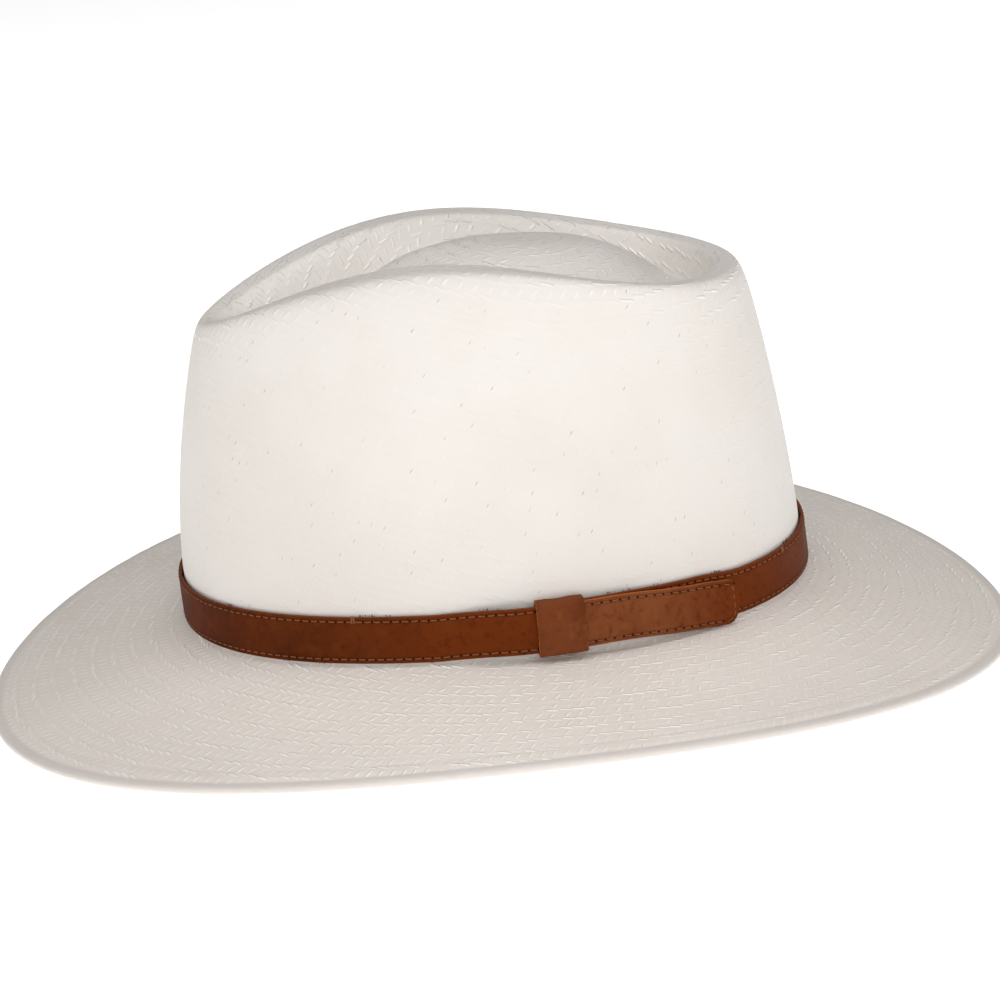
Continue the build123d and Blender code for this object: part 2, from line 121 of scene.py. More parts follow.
# -------- sizes of the sweatband, as in the part
SWEATBAND_HEIGHT = 31.0 * MM
SWEATBAND_LEATHER = 1.0 * MM
SWEATBAND_BACK = STRAW + 0.3 * MM
SWEATBAND_FACE = SWEATBAND_BACK + SWEATBAND_LEATHER
SWEATBAND_FOOT = -0.4 * MM
SWEATBAND_SEAM = 4.5 * MM
WAVE_FROM = 12.0 * MM  # height from which the leather stands off in waves, and over how much more
WAVE_RAMP = 20.0 * MM
REED_RADIUS = 0.9 * MM
REED_LIFT = 1.0 * MM
BOW_LENGTH = 22.0 * MM
BOW_HEIGHT = 9.0 * MM
BOW_LIFT = 12.0 * MM

# -------- weave
ROW_PITCH = 3.05 * MM
LANE_PITCH = 3.4 * MM
ROW_RELIEF = 0.04 * MM
ROW_SHARES = (0.8, 0.7, 0.4)  # of the meridians' unequal length, kept by the rows at crest, break and edge
FEWEST_LANES = 12
LANE_STEP = 0.08  # lanes are added once the ring has outgrown them by this share
PAIR_SHIFT = 0.42  # straws by which each pair of rows is shifted against the last
FLAT_SLOPE = 0.3  # rise over run of the straws of the two rows
STEEP_SLOPE = 0.55
STRAW_HALF = 0.44  # half width of one straw, in millimetres
STEEP_SHARE = 0.6  # how much the straws of the steep rows stand out, against the others
WANDER = 0.7  # rows and straws stray by up to half of this
ROLLED_REACH = 3.4  # millimetres from the brim's edge to where its smooth fold and its painted shade end, and over how many
ROLLED_RAMP = 1.4
PRESSED_FROM = 2.0  # rows below the crest from which the wall is pressed, and over how many more
PRESSED_RAMP = 6.0
HEM_DENT = 0.15 * MM  # where the turned straw ends under the brim, which stands a little lower further in
HEM_STEP = 0.1 * MM
EDGE_DENT = 0.4 * MM  # the groove along the rolled edge, and its place in millimetres from the edge
EDGE_DENT_AT = 3.0
DENT_WIDTH = 0.9  # of both, in millimetres
WEAVE_COLUMNS = 388  # meridians of the mesh round the hat
FINE_RINGS, COARSE_RINGS = 4, 2  # rings of the mesh for each row

# -------- shades, as levels from 0 to 255 on a screen
GAP_PAINTED_SHADOW = (150, 126, 100)  # painted shadow in the gaps between the straws
LAP_SHADE = (122, 54, 14)  # of the band near its lap
HOLE_PAINTED_SHADOW = (50, 20, 6)  # painted shadow in the stitch holes

# -------- camera
CAMERA_AZIMUTH = math.radians(84.22)
CAMERA_ELEVATION = math.radians(18.18)
CAMERA_ROLL = math.radians(-4.46)
CAMERA_DISTANCE = 849.4 * MM
CAMERA_FOCAL_PX = 3.008 * 849.4
CAMERA_AIM = (0.0, 2.96 * MM, 26.17 * MM)  # from the middle of the break
IMAGE_PX = 1000.0

# -------- room and light
WORLD_STRENGTH = 0.06
FLOOR_GLOW = 0.7
FLOOR_HALF = 30.0  # half of the floor's side
FLOOR_LEVEL = -0.2 * MM
LIGHT_AIM = (0.0, 0.0, 0.06)  # in the crown
LIGHTS = (  # name, azimuth and elevation in degrees, distance, size, power
    ("front", 84.0, 12.0, 1.6, 1.0, 7.0),
    ("overhead", 84.0, 85.0, 3.2, 2.0, 42.0),
    ("left", 24.0, 35.0, 1.6, 1.0, 5.4),
    ("right", 144.0, 35.0, 1.6, 1.0, 6.6),
)


# ======== surfaces
def series(turn, sizes):
    """A size that varies smoothly round the hat: its mean and four waves."""
    return sum(size * np.cos(n * turn) for n, size in enumerate(sizes))


def smooth(share):
    share = np.clip(share, 0.0, 1.0)
    return share * share * (3.0 - 2.0 * share)


def stack(*parts):
    return np.stack(np.broadcast_arrays(*parts), axis=-1)


def unit(vectors):
    return vectors / np.linalg.norm(vectors, axis=-1, keepdims=True)


def walk(steps):
    """Length walked before each point of a line, from the lengths of its steps."""
    return np.concatenate([[0.0], np.cumsum(steps, axis=0)])


def middles(length, count):
    """Middles of the equal steps that divide a length."""
    return (np.arange(count) + 0.5) * length / count


def steps_to_one(count):
    """Equal steps from 0 to 1, without the 0."""
    return np.linspace(0.0, 1.0, count + 1)[1:]


def heading(azimuth, elevation):
    """Direction from the hat towards a place round it: azimuth 0 is the front, a quarter the wearer's left."""
    flat = math.cos(elevation)
    return Vector((math.sin(azimuth) * flat, -math.cos(azimuth) * flat, math.sin(elevation)))


def break_point(turn):
    x = BREAK_WIDTH / 2.0 * (np.sin(turn) + BREAK_FULLNESS * np.sin(3.0 * turn))
    z = series(turn, (0.0, 0.0, -BREAK_SWAY, -BREAK_WAVE, 0.0))
    return stack(x, -BREAK_LENGTH / 2.0 * np.cos(turn), z)


def outward(turn):
    """Level direction square to the break, away from the head."""
    dx = BREAK_WIDTH / 2.0 * (np.cos(turn) + 3.0 * BREAK_FULLNESS * np.cos(3.0 * turn))
    dy = BREAK_LENGTH / 2.0 * np.sin(turn)
    size = np.hypot(dx, dy)
    return stack(dy / size, -dx / size, 0.0)


def stride(turn):
    """Length along the break for each radian of turn."""
    step = 0.001
    along = break_point(turn + step) - break_point(turn - step)
    return np.hypot(along[..., 0], along[..., 1]) / (2.0 * step)


def break_steps(turn):
    """Lengths along the break between turns."""
    return (stride(turn[1:]) + stride(turn[:-1])) / 2.0 * np.diff(turn)


def equal_turns(steps_between, pitch):
    """Turns in the middles of equal steps of about `pitch` along a line round the hat."""
    fine = np.linspace(0.0, TAU, 2881)
    lengths = walk(steps_between(fine))
    return np.interp(middles(lengths[-1], int(lengths[-1] / pitch)), lengths, fine)


def seam_frame(point, turn, across, step):
    """Middle, along and across directions of stitches on a surface, point(turn, across)."""
    middle = point(turn, across)
    along = unit(point(turn + 0.002, across) - point(turn - 0.002, across))
    return middle, along, unit(point(turn, across + step) - middle)


def crest_point(turn):
    side = np.sin(turn) + CREST_FULLNESS * np.sin(3.0 * turn)
    x = CREST_WIDTH / 2.0 * side * (1.0 - CREST_PINCH * np.cos(turn))
    return stack(x, -series(turn, CREST_AHEAD), series(turn, CREST_HEIGHT))


def wall_point(turn, rise):
    """Crown wall; rise is 0 at the break and 1 at the crest."""
    low = break_point(turn)
    lean = crest_point(turn) - low
    rise = np.clip(rise, 0.0, 1.0)
    shoulder = 1.0 - (1.0 - rise ** SHOULDER_POWER) ** (1.0 / SHOULDER_POWER)
    inward = WALL_TAPER * rise + (1.0 - WALL_TAPER) * shoulder
    swell = series(turn, WALL_SWELL) * np.sin(math.pi * rise ** WALL_SWELL_LOW)
    level = stack(lean[..., 0] * inward, lean[..., 1] * inward, lean[..., 2] * rise)
    return low + level + outward(turn) * swell[..., None]


def rise_at(turn, height):
    return height / (crest_point(turn)[..., 2] - break_point(turn)[..., 2])


def top_point(turn, reach):
    """Top of the crown; reach is 0 at the mound's middle and 1 at the crest."""
    crest = crest_point(turn)
    y = MOUND_CENTRE + reach * (crest[..., 1] - MOUND_CENTRE)
    groove = series(turn, GROOVE_REACH)
    floor = crest[..., 2] - GROOVE_DEPTH
    rim = floor + GROOVE_DEPTH * smooth((reach - groove) / (1.0 - groove))
    mound = (1.0 - np.minimum(reach / groove, 1.0) ** MOUND_FLATNESS) ** 1.5
    peak = MOUND_HEIGHT + MOUND_TILT * (y - MOUND_CENTRE)
    inside = floor * (1.0 - mound) + peak * mound
    return stack(reach * crest[..., 0], y, np.where(reach >= groove, rim, inside))


def brim_point(turn, reach):
    """Top of the brim; reach is measured from the break down the slope."""
    droop = np.radians(series(turn, BRIM_DROOP))
    level = outward(turn) * (reach * np.cos(droop))[..., None]
    return break_point(turn) + level - stack(0.0, 0.0, reach * np.sin(droop))


def brim_width(turn):
    return series(turn, (BRIM_WIDTH, 0.0, BRIM_WIDTH_ENDS, 0.0, 0.0))


def foot_point(turn, height, top, out):
    """Point `out` from the outside of the straw at the wall's foot, which is taken as straight up to `top`."""
    low = break_point(turn)
    high = wall_point(turn, rise_at(turn, top))
    return low + (high - low) * np.asarray(height / top)[..., None] + outward(turn) * np.asarray(out)[..., None]


def band_point(turn, height, out):
    """Point outside the crown, `out` from the straw."""
    return foot_point(turn, height, WALL_STRAIGHT, out)


def sweatband_point(turn, height, inward):
    """Point inside the crown, `inward` from the outside of the straw."""
    return foot_point(turn, height, SWEATBAND_HEIGHT, -np.asarray(inward))


def meridians(turn):
    """Dense lines from the mound's middle to under the hem, and the places of crest, break and edge on them."""
    top = [top_point(turn, reach) for reach in np.linspace(0.0, 1.0, 161)[:-1]]
    start = rise_at(turn, WALL_STRAIGHT)
    swing = (1.0 - np.linspace(0.0, 0.979, 140) ** SHOULDER_POWER) ** (1.0 / SHOULDER_POWER)
    swing = np.concatenate([swing, np.linspace(swing[-1], 0.0, 61)[1:]])
    wall = [wall_point(turn, start + (1.0 - start) * share) for share in swing]
    foot = [band_point(turn, height, 0.0) for height in np.linspace(WALL_STRAIGHT, BREAK_FILLET, 12)[1:-1]]
    fillet = []
    for share in np.linspace(0.0, 1.0, 7):
        on_wall = band_point(turn, BREAK_FILLET, 0.0) * (1.0 - share) ** 2
        on_brim = brim_point(turn, BREAK_FILLET) * share ** 2
        fillet.append(on_wall + break_point(turn) * (2.0 * share * (1.0 - share)) + on_brim)
    span = brim_width(turn) - STRAW - BREAK_FILLET
    brim = [brim_point(turn, BREAK_FILLET + span * share) for share in steps_to_one(100)]
    out = brim_point(turn, 1.0) - brim_point(turn, 0.0)
    up = unit(np.cross(out, np.cross([0.0, 0.0, 1.0], out)))
    middle = brim[-1] - up * STRAW
    fold = [middle + (up * math.cos(angle) + out * math.sin(angle)) * STRAW
            for angle in np.linspace(0.0, math.pi, 13)[1:]]
    under = [fold[-1] - out * (HEM_WIDTH - STRAW) * share for share in steps_to_one(12)]
    step = [under[-1] + up * (STRAW + 0.3 * MM) * share - out * 0.4 * MM * math.sin(share * math.pi / 2.0)
            for share in steps_to_one(4)]
    lines = np.array(top + wall + foot + fillet + brim + fold + under + step)
    foot_at = len(top) + len(wall) + len(foot)
    return lines, len(top), foot_at + len(fillet) // 2, foot_at + len(fillet) + len(brim) - 1


def surface_normals(lines):
    """Outward unit normals of a grid of points (rows, columns round the hat, 3)."""
    across = np.roll(lines, -1, axis=1) - np.roll(lines, 1, axis=1)
    along = np.gradient(lines, axis=0)
    normal = np.cross(along, across)
    size = np.linalg.norm(normal, axis=-1, keepdims=True)
    normal = np.where(size > 1e-14, normal / np.maximum(size, 1e-14), (0.0, 0.0, 1.0))
    normal[0] = (0.0, 0.0, 1.0)
    return normal


# ======== place on the ground
def ground_shift():
    """Place of the middle of the break: the straw's box has its middle and its top where the CAD straw's are."""
    low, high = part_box("straw_body")
    turn = np.linspace(0.0, TAU, 361)
    rim = brim_point(turn, brim_width(turn))
    top = max(top_point(turn, reach)[:, 2].max() for reach in np.linspace(0.0, 1.0, 101))
    return np.array([0.0, -(rim[:, 1].min() + rim[:, 1].max()) / 2.0, high[2] - top])


GROUND = ground_shift()


# ======== meshes
def add_to_scene(name, data):
    made = bpy.data.objects.new(name, data)
    bpy.context.scene.collection.objects.link(made)
    return made


def mesh_object(name, points, faces, uvs, material, sharp_degrees=None, edge=None):
    """Object from points (n, 3), faces as arrays of equal-sided polygons, and their uvs corner by corner.

    `edge` is kept on the points for the material: 1 on a cut edge, 0 on the grain side.
    """
    mesh = bpy.data.meshes.new(name)
    mesh.vertices.add(len(points))
    mesh.vertices.foreach_set("co", (points + GROUND).astype(np.float32).ravel())
    corners = np.concatenate([face.ravel() for face in faces])
    sides = np.concatenate([np.full(len(face), face.shape[1]) for face in faces])
    mesh.loops.add(len(corners))
    mesh.loops.foreach_set("vertex_index", corners.astype(np.int32))
    mesh.polygons.add(len(sides))
    starts = np.concatenate([[0], np.cumsum(sides)[:-1]])
    mesh.polygons.foreach_set("loop_start", starts.astype(np.int32))
    mesh.update(calc_edges=True)
    layer = mesh.uv_layers.new(name="UVMap")
    layer.data.foreach_set("uv", np.concatenate([uv.reshape(-1, 2) for uv in uvs]).astype(np.float32).ravel())
    if edge is not None:
        mesh.attributes.new("edge", "FLOAT", "POINT").data.foreach_set("value", edge.astype(np.float32).ravel())
    mesh.validate()
    mesh.shade_smooth()
    if sharp_degrees is not None:
        mesh.set_sharp_from_angle(angle=math.radians(sharp_degrees))
    mesh.materials.append(material)
    return add_to_scene(name, mesh)


def grid_faces(rows, cols, wrap_rows=False, wrap_cols=False):
    """Corner (row, column) pairs of a grid's faces, unwrapped, so that they can index uvs too."""
    r, c = np.meshgrid(np.arange(rows - (not wrap_rows)), np.arange(cols - (not wrap_cols)), indexing="ij")
    r, c = r.ravel(), c.ravel()
    return np.stack([r, r, r + 1, r + 1], 1), np.stack([c, c + 1, c + 1, c], 1)


def grid_object(name, points, uv, material, wrap_rows=False, wrap_cols=False, caps=False, sharp_degrees=None,
                edge=None):
    """Object from a grid of points; uv has one more row or column where the grid wraps."""
    rows, cols = points.shape[:2]
    r, c = grid_faces(rows, cols, wrap_rows, wrap_cols)
    faces = [(r % rows) * cols + c % cols]
    uvs = [uv[r, c]]
    if caps:
        for row, order in ((0, slice(None, None, -1)), (rows - 1, slice(None))):
            faces.append((row * cols + np.arange(cols))[None, order])
            uvs.append(uv[row, :cols][None, order])
    return mesh_object(name, points.reshape(-1, 3), faces, uvs, material, sharp_degrees, edge)


def finish_piece(piece, body, slot_name, *nodes):
    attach(piece, body)
    if nodes:
        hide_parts(*nodes)


# ======== materials
def linear(level):
    """One level of a screen colour, 0 to 255, as the linear share that a shader takes."""
    return level / 255.0 / 12.92 if level < 10.3 else ((level / 255.0 + 0.055) / 1.055) ** 2.4


def operator(name, turned=False):
    """An operator of Value, as a Math node."""
    def apply(self, other=None):
        a, b = (other, self) if turned else (self, other)
        return self.nodes.math(name, a, b)
    return apply


class Value:
    """What a node gives out, to be computed with."""

    def __init__(self, nodes, socket):
        self.nodes = nodes
        self.socket = socket

    __add__ = operator("ADD")
    __sub__ = operator("SUBTRACT")
    __rsub__ = operator("SUBTRACT", turned=True)
    __mul__ = operator("MULTIPLY")
    __truediv__ = operator("DIVIDE")
    __abs__ = operator("ABSOLUTE")
    __floor__ = operator("FLOOR")


class Nodes:
    """Short names for building one material's node tree."""

    def __init__(self, name):
        self.material = bpy.data.materials.new(name)
        self.material.use_nodes = True
        self.tree = self.material.node_tree
        self.tree.nodes.clear()
        self.shader = self.tree.nodes.new("ShaderNodeBsdfPrincipled")
        output = self.tree.nodes.new("ShaderNodeOutputMaterial")
        self.tree.links.new(self.shader.outputs["BSDF"], output.inputs["Surface"])

    def feed(self, socket, value):
        """Link or set a socket; a tuple is a colour, as levels from 0 to 255 on a screen."""
        if isinstance(value, Value):
            self.tree.links.new(value.socket, socket)
        elif isinstance(value, tuple):
            socket.default_value = (*map(linear, value), 1.0)
        elif value is not None:
            socket.default_value = value

    def node(self, kind, inputs=None, output=0, **settings):
        """Add a node with its settings, feed its inputs, given by name or number, and return one output."""
        made = self.tree.nodes.new(kind)
        for key, value in settings.items():
            setattr(made, key, value)
        for key, value in (inputs or {}).items():
            self.feed(made.inputs[key], value)
        return Value(self, made.outputs[output])

    def math(self, operation, a, b=None, clamp=False):
        return self.node("ShaderNodeMath", {0: a, 1: b}, operation=operation, use_clamp=clamp)

    def ramp(self, factor, low, high, to_low=0.0, to_high=1.0):
        return self.node("ShaderNodeMapRange", dict(enumerate((factor, low, high, to_low, to_high))),
                         interpolation_type="SMOOTHSTEP")

    def mix(self, factor, a, b):
        return self.node("ShaderNodeMix", {"Factor": factor, 6: a, 7: b}, 2, data_type="RGBA", blend_type="MIX")

    def uv(self):
        both = self.node("ShaderNodeUVMap", uv_map="UVMap")
        return [self.node("ShaderNodeSeparateXYZ", {0: both}, axis) for axis in (0, 1)]

    def place(self):
        return self.node("ShaderNodeTexCoord", output="Object")

    def edge(self):
        return self.node("ShaderNodeAttribute", output="Fac", attribute_name="edge")

    def noise(self, scale, detail=2.0, roughness=0.5):
        return self.node("ShaderNodeTexNoise", {"Vector": self.place(), "Scale": scale, "Detail": detail,
                                                "Roughness": roughness}, "Fac")

    def cells(self, scale):
        """Distance to the edge of the cell that a place is in."""
        return self.node("ShaderNodeTexVoronoi", {"Vector": self.place(), "Scale": scale}, "Distance",
                         feature="DISTANCE_TO_EDGE")

    def random(self, x, y):
        both = self.node("ShaderNodeCombineXYZ", {0: x, 1: y})
        return self.node("ShaderNodeTexWhiteNoise", {"Vector": both}, "Value", noise_dimensions="2D")

    def bump(self, height, distance, strength=1.0, under=None):
        return self.node("ShaderNodeBump", {"Strength": strength, "Distance": distance, "Height": height,
                                            "Normal": under})

    def finish(self, **sockets):
        for name, value in sockets.items():
            self.feed(self.shader.inputs[name.replace("_", " ")], value)
        return self.material


def straw_material(name, ground, painted_glint, deep, relief, pores, pressed=None, rolled=None):
    """Herringbone weave: u counts straws round the hat, v counts woven rows.

    In each pair of rows the straws of one lie nearly along it and those of the other cross it steeply. Each is
    a glossy shingle: the first kind faces down the hat, the second round it. Each straw is painted paler than the
    ground around it, a painted highlight for its glints. `pores` is the share of the second with a fine gap
    beside them, painted dark as a painted shadow. Where the mesh's "edge" is 1, the weave is pressed to a share
    of its relief and of its painted highlight, and takes the colour `rolled` where one is given: a painted shade
    on the brim's rolled edge.
    """
    n = Nodes(name)
    u, v = n.uv()
    row, straw = ROW_PITCH / MM, LANE_PITCH / MM
    v = v + (n.noise(34.0, 2.0) - 0.5) * WANDER
    pair = math.floor(v * 0.5)
    across = (v - pair * 2.0) * row
    lane = u + pair * PAIR_SHIFT + (n.noise(80.0, 1.0) - 0.5) * WANDER
    index = math.floor(lane)
    chance, other = n.random(index, pair), n.random(pair, index)
    along = (lane - index - 0.5) * straw
    jitter = (chance - 0.5) * 0.5

    def shingle(off, part):
        """How high a straw is, 1 at its upper edge and 0 at its lower one, and where it lies."""
        off = off / STRAW_HALF
        fall = n.math("MULTIPLY", 1.0 - off, 0.6, clamp=True)
        rise = n.ramp(off, -1.7, -0.5)
        return rise * fall * part, rise * n.ramp(off, 1.0, 0.6) * part

    off = across - (jitter * 1.8 + 0.5 * row)
    part = n.ramp(other, -0.1, 0.9) * n.ramp(abs(along), 0.52 * straw, 0.4 * straw)
    flat, flat_here = shingle(off - along * FLAT_SLOPE, part)

    off = across - 1.5 * row
    steep_off = along + jitter + off * STEEP_SLOPE
    part = n.ramp(chance, -0.3, 0.5) * n.ramp(abs(off), 0.5 * row, 0.34 * row)
    steep, steep_here = shingle(steep_off, part)

    straws, here = flat + steep * STEEP_SHARE, flat_here + steep_here * STEEP_SHARE
    edge = n.edge()
    if pressed is not None:
        straws = straws * n.ramp(edge, 0.0, 1.0, 1.0, pressed)
        here = here * n.ramp(edge, 0.0, 1.0, 1.0, 0.4 * pressed)
    # Where each straw lies it is painted paler: a painted highlight for its glints, weaker where the wall is
    # pressed. The mottle between ground and deep is the straw's own.
    shade = n.mix(here, n.mix(n.ramp(n.noise(28.0, 3.0), 0.3, 0.7), ground, deep), painted_glint)
    # The brim's rolled edge is painted darker: a painted shade.
    if rolled is not None:
        shade = n.mix(edge, shade, rolled)
    # Fine gaps beside some steep straws are painted dark, a painted shadow; the same mask dips the relief.
    beside = n.ramp(abs(steep_off + 1.2 * STRAW_HALF), 0.17, 0.04)
    gap = beside * n.ramp(abs(off + jitter * 3.0), 0.8, 0.2) * n.ramp(other, 1.0 - pores, 1.05)
    shade = n.mix(gap * 0.6, shade, GAP_PAINTED_SHADOW)
    normal = n.bump(n.noise(1500.0, 2.0), 0.02 * MM, 0.3)
    normal = n.bump(straws - gap * 0.4, relief, 1.0, normal)
    return n.finish(Base_Color=shade, Roughness=n.ramp(here, 0.1, 0.6, 0.5, 0.3), Normal=normal,
                    Specular_IOR_Level=0.6)


def leather_material(name, deep, mid, worn, seams=(), flesh=None, tail=None):
    """Waxed leather: u and v are millimetres along and across the strip; seams are the v of its stitch lines.

    `tail` is (u of the strip's end, sheen colour, edge colour): the end is painted lighter where it leaves the
    loop, a painted sheen, and its cut edge is lighter there too.
    """
    n = Nodes(name)
    u, v = n.uv()
    mottle, cloud = n.noise(55.0, 4.0, 0.6), n.noise(16.0, 2.0)
    creases, wrinkles = n.noise(380.0, 5.0, 0.7), n.noise(170.0, 3.0, 0.6)
    shade = n.mix(n.ramp(mottle, 0.32, 0.7), deep, mid)
    shade = n.mix(n.ramp(cloud, 0.45, 0.75) * 0.45, shade, worn)
    shade = n.mix(n.ramp(wrinkles, 0.5, 0.68) * 0.4, shade, worn)
    if tail is not None:
        end, lightened, bright = tail
        far = end - u
        lap = n.math("MAXIMUM", n.ramp(u, 210.0, 50.0), n.ramp(far, 150.0, 78.0))
        shade = n.mix(lap * 0.6, shade, LAP_SHADE)
        # The end of the tail is painted lighter where it leaves the loop: a painted sheen.
        spread = n.ramp(far, 61.0, 56.0) * n.ramp(far, -4.0, 34.0)
        shade = n.mix(spread * n.ramp(wrinkles + mottle * 0.5, 0.5, 0.85, 0.6, 1.0), shade, lightened)
        flesh = n.mix(n.ramp(far, 66.0, 56.0) * 0.85, flesh, bright)
    # The low parts of the creases are painted darker: painted shade in the creases.
    shade = n.mix(n.ramp(creases, 0.5, 0.34) * 0.4, shade, deep)
    height = n.ramp(n.cells(1500.0), 0.0, 0.12) * 0.35 + creases * 1.1
    pitch = STITCH_PITCH / MM
    for seam in seams:
        away = v - seam
        line = n.ramp(abs(away), 0.75, 0.1)
        along = (n.math("FRACT", u / pitch + 0.5) - 0.5) * pitch
        hole = n.ramp(n.math("SQRT", along * along + away * away), 0.6, 0.2)
        # Each seam's groove is painted a little darker and each stitch hole nearly black: painted shade in the
        # groove, painted shadow in the hole.
        shade = n.mix(hole, n.mix(line * 0.25, shade, deep), HOLE_PAINTED_SHADOW)
        height = height - line * 0.9 - hole * 1.6
    if flesh is not None:
        ragged = n.edge() + (n.noise(700.0, 3.0) - 0.5) * 0.5
        shade = n.mix(n.ramp(ragged, 0.35, 0.75), shade, flesh)
    return n.finish(Base_Color=shade, Roughness=mottle * 0.3 + 0.4, Normal=n.bump(height, 0.09 * MM, 0.8),
                    Specular_IOR_Level=0.05)


def thread_material(name, light, dark):
    n = Nodes(name)
    u, v = n.uv()
    twist = n.math("SINE", (u + v) * 14.0)
    # The twist's ridges are painted lighter and its grooves darker: painted shade following the bump. The noise
    # is the thread's own.
    shade = n.mix(n.ramp(twist, -0.8, 0.8), dark, light)
    shade = n.mix(n.noise(200.0, 2.0) * 0.5, shade, dark)
    return n.finish(Base_Color=shade, Roughness=0.6, Normal=n.bump(twist, 0.03 * MM, 0.6))


def ribbon_material(name, light, dark):
    n = Nodes(name)
    ribs = n.math("SINE", n.uv()[0] * 9.0)
    # The ribs are painted lighter on top and darker between: painted shade following the bump. The noise is the
    # ribbon's own.
    shade = n.mix(n.ramp(ribs, -1.0, 1.0), dark, light)
    shade = n.mix(n.noise(150.0, 3.0) * 0.4, shade, dark)
    return n.finish(Base_Color=shade, Roughness=0.55, Normal=n.bump(ribs, 0.08 * MM, 0.8), Sheen_Weight=0.3)


# The second colour of each straw material is painted on its straws as a painted highlight.
STRAW_CROWN = straw_material("straw_crown", (235, 229, 223), (250, 246, 240), (231, 224, 217),
                             0.34 * MM, 0.3, pressed=0.25)
# The brim's last colour is a painted shade on its rolled edge.
STRAW_BRIM = straw_material("straw_brim", (237, 228, 220), (255, 251, 245), (233, 224, 215),
                            0.3 * MM, 0.03, pressed=0.25, rolled=(224, 216, 210))
STRAW_IN = straw_material("straw_inside", (232, 222, 208), (241, 233, 220), (226, 214, 198),
                          0.26 * MM, 0.2)
KEEPER_FACE = leather_material("keeper_leather", (98, 46, 18), (120, 63, 33), (136, 82, 52),
                               flesh=(184, 112, 62))
LINING = leather_material("band_lining", (40, 20, 12), (62, 34, 20), (84, 50, 30))
SWEAT_FACE = leather_material("sweatband_leather", (150, 106, 66), (178, 132, 88),
                              (196, 152, 108), seams=(SWEATBAND_SEAM / MM,), flesh=(206, 170, 128))
TAN_THREAD = thread_material("tan_thread", (160, 96, 44), (112, 58, 22))
PALE_THREAD = thread_material("pale_thread", (236, 228, 214), (206, 192, 172))
REED_TAPE = ribbon_material("reed_tape", (116, 78, 50), (78, 50, 32))
RIBBON = ribbon_material("bow_ribbon", (112, 66, 40), (72, 40, 24))


# ======== straw
def row_counts(cuts, marks):
    """How many woven rows lie between the mound's middle and each point of each meridian.

    Each mark is a place on the meridians and the share of their unequal length that the rows keep there.
    """
    count = np.empty_like(cuts)
    begin, before = 0, 0.0
    for end, share in marks:
        after = share * cuts[end] + (1.0 - share) * cuts[end].mean()
        walked = (cuts[begin:end] - cuts[begin]) / (cuts[end] - cuts[begin])
        count[begin:end] = before + walked * (after - before)
        begin, before = end, after
    count[begin:] = before + cuts[begin:] - cuts[begin]
    return count / ROW_PITCH


def lane_counts(rings):
    """Straws counted round the hat in rows of these lengths: an even number that grows in steps."""
    lanes, current = [], FEWEST_LANES
    for ring in rings:
        needed = ring / LANE_PITCH
        if abs(needed / current - 1.0) > LANE_STEP:
            current = max(FEWEST_LANES, int(round(needed / 2.0)) * 2)
        lanes.append(current)
    return np.repeat(lanes[::2], 2)[:len(rings)]


class Weave:
    """The woven sheet's dense meridians and its rows, shared by the pieces that it is drawn in."""

    def __init__(self, columns):
        self.columns = columns
        self.lines, self.crest_at, self.break_at, self.edge_at = meridians(np.arange(columns) * TAU / columns)
        self.cuts = stack(*map(walk, np.linalg.norm(np.diff(self.lines, axis=0), axis=-1).T))
        self.to_edge = (self.cuts[self.edge_at] - self.cuts) / MM
        self.counts = row_counts(self.cuts, zip((self.crest_at, self.break_at, self.edge_at), ROW_SHARES))
        self.facing = surface_normals(self.lines)
        middles_of_rows = np.arange(int(self.counts.max()) + 2)[:, None] + np.full(columns, 0.5)
        across = np.linalg.norm(np.roll(self.lines, -1, axis=1) - self.lines, axis=-1)
        self.lanes = lane_counts(self.at_rows(middles_of_rows, across).sum(axis=1))

    def at_rows(self, at, field):
        """A field of the meridians' points, where each meridian has counted `at` rows."""
        return stack(*(np.interp(at[:, k], self.counts[:, k], field[:, k]) for k in range(self.columns)))

    def surface(self, at, depth, relief, hem_line):
        """Points where each meridian has counted `at` rows, `depth` under the outer face."""
        where, normal = (stack(*(self.at_rows(at, field[..., axis]) for axis in range(3)))
                         for field in (self.lines, self.facing))
        lift = relief * np.abs(np.sin(math.pi * at)) ** 0.7 - depth
        if hem_line:
            away = self.at_rows(at, self.to_edge)
            inset = away - (HEM_WIDTH - STRAW) / MM
            lift += HEM_STEP * smooth((0.5 - inset) / 2.0) - HEM_DENT * np.exp(-(inset / DENT_WIDTH) ** 2)
            lift -= EDGE_DENT * np.exp(-((away - EDGE_DENT_AT) / DENT_WIDTH) ** 2)
        return where + unit(normal) * lift[..., None]


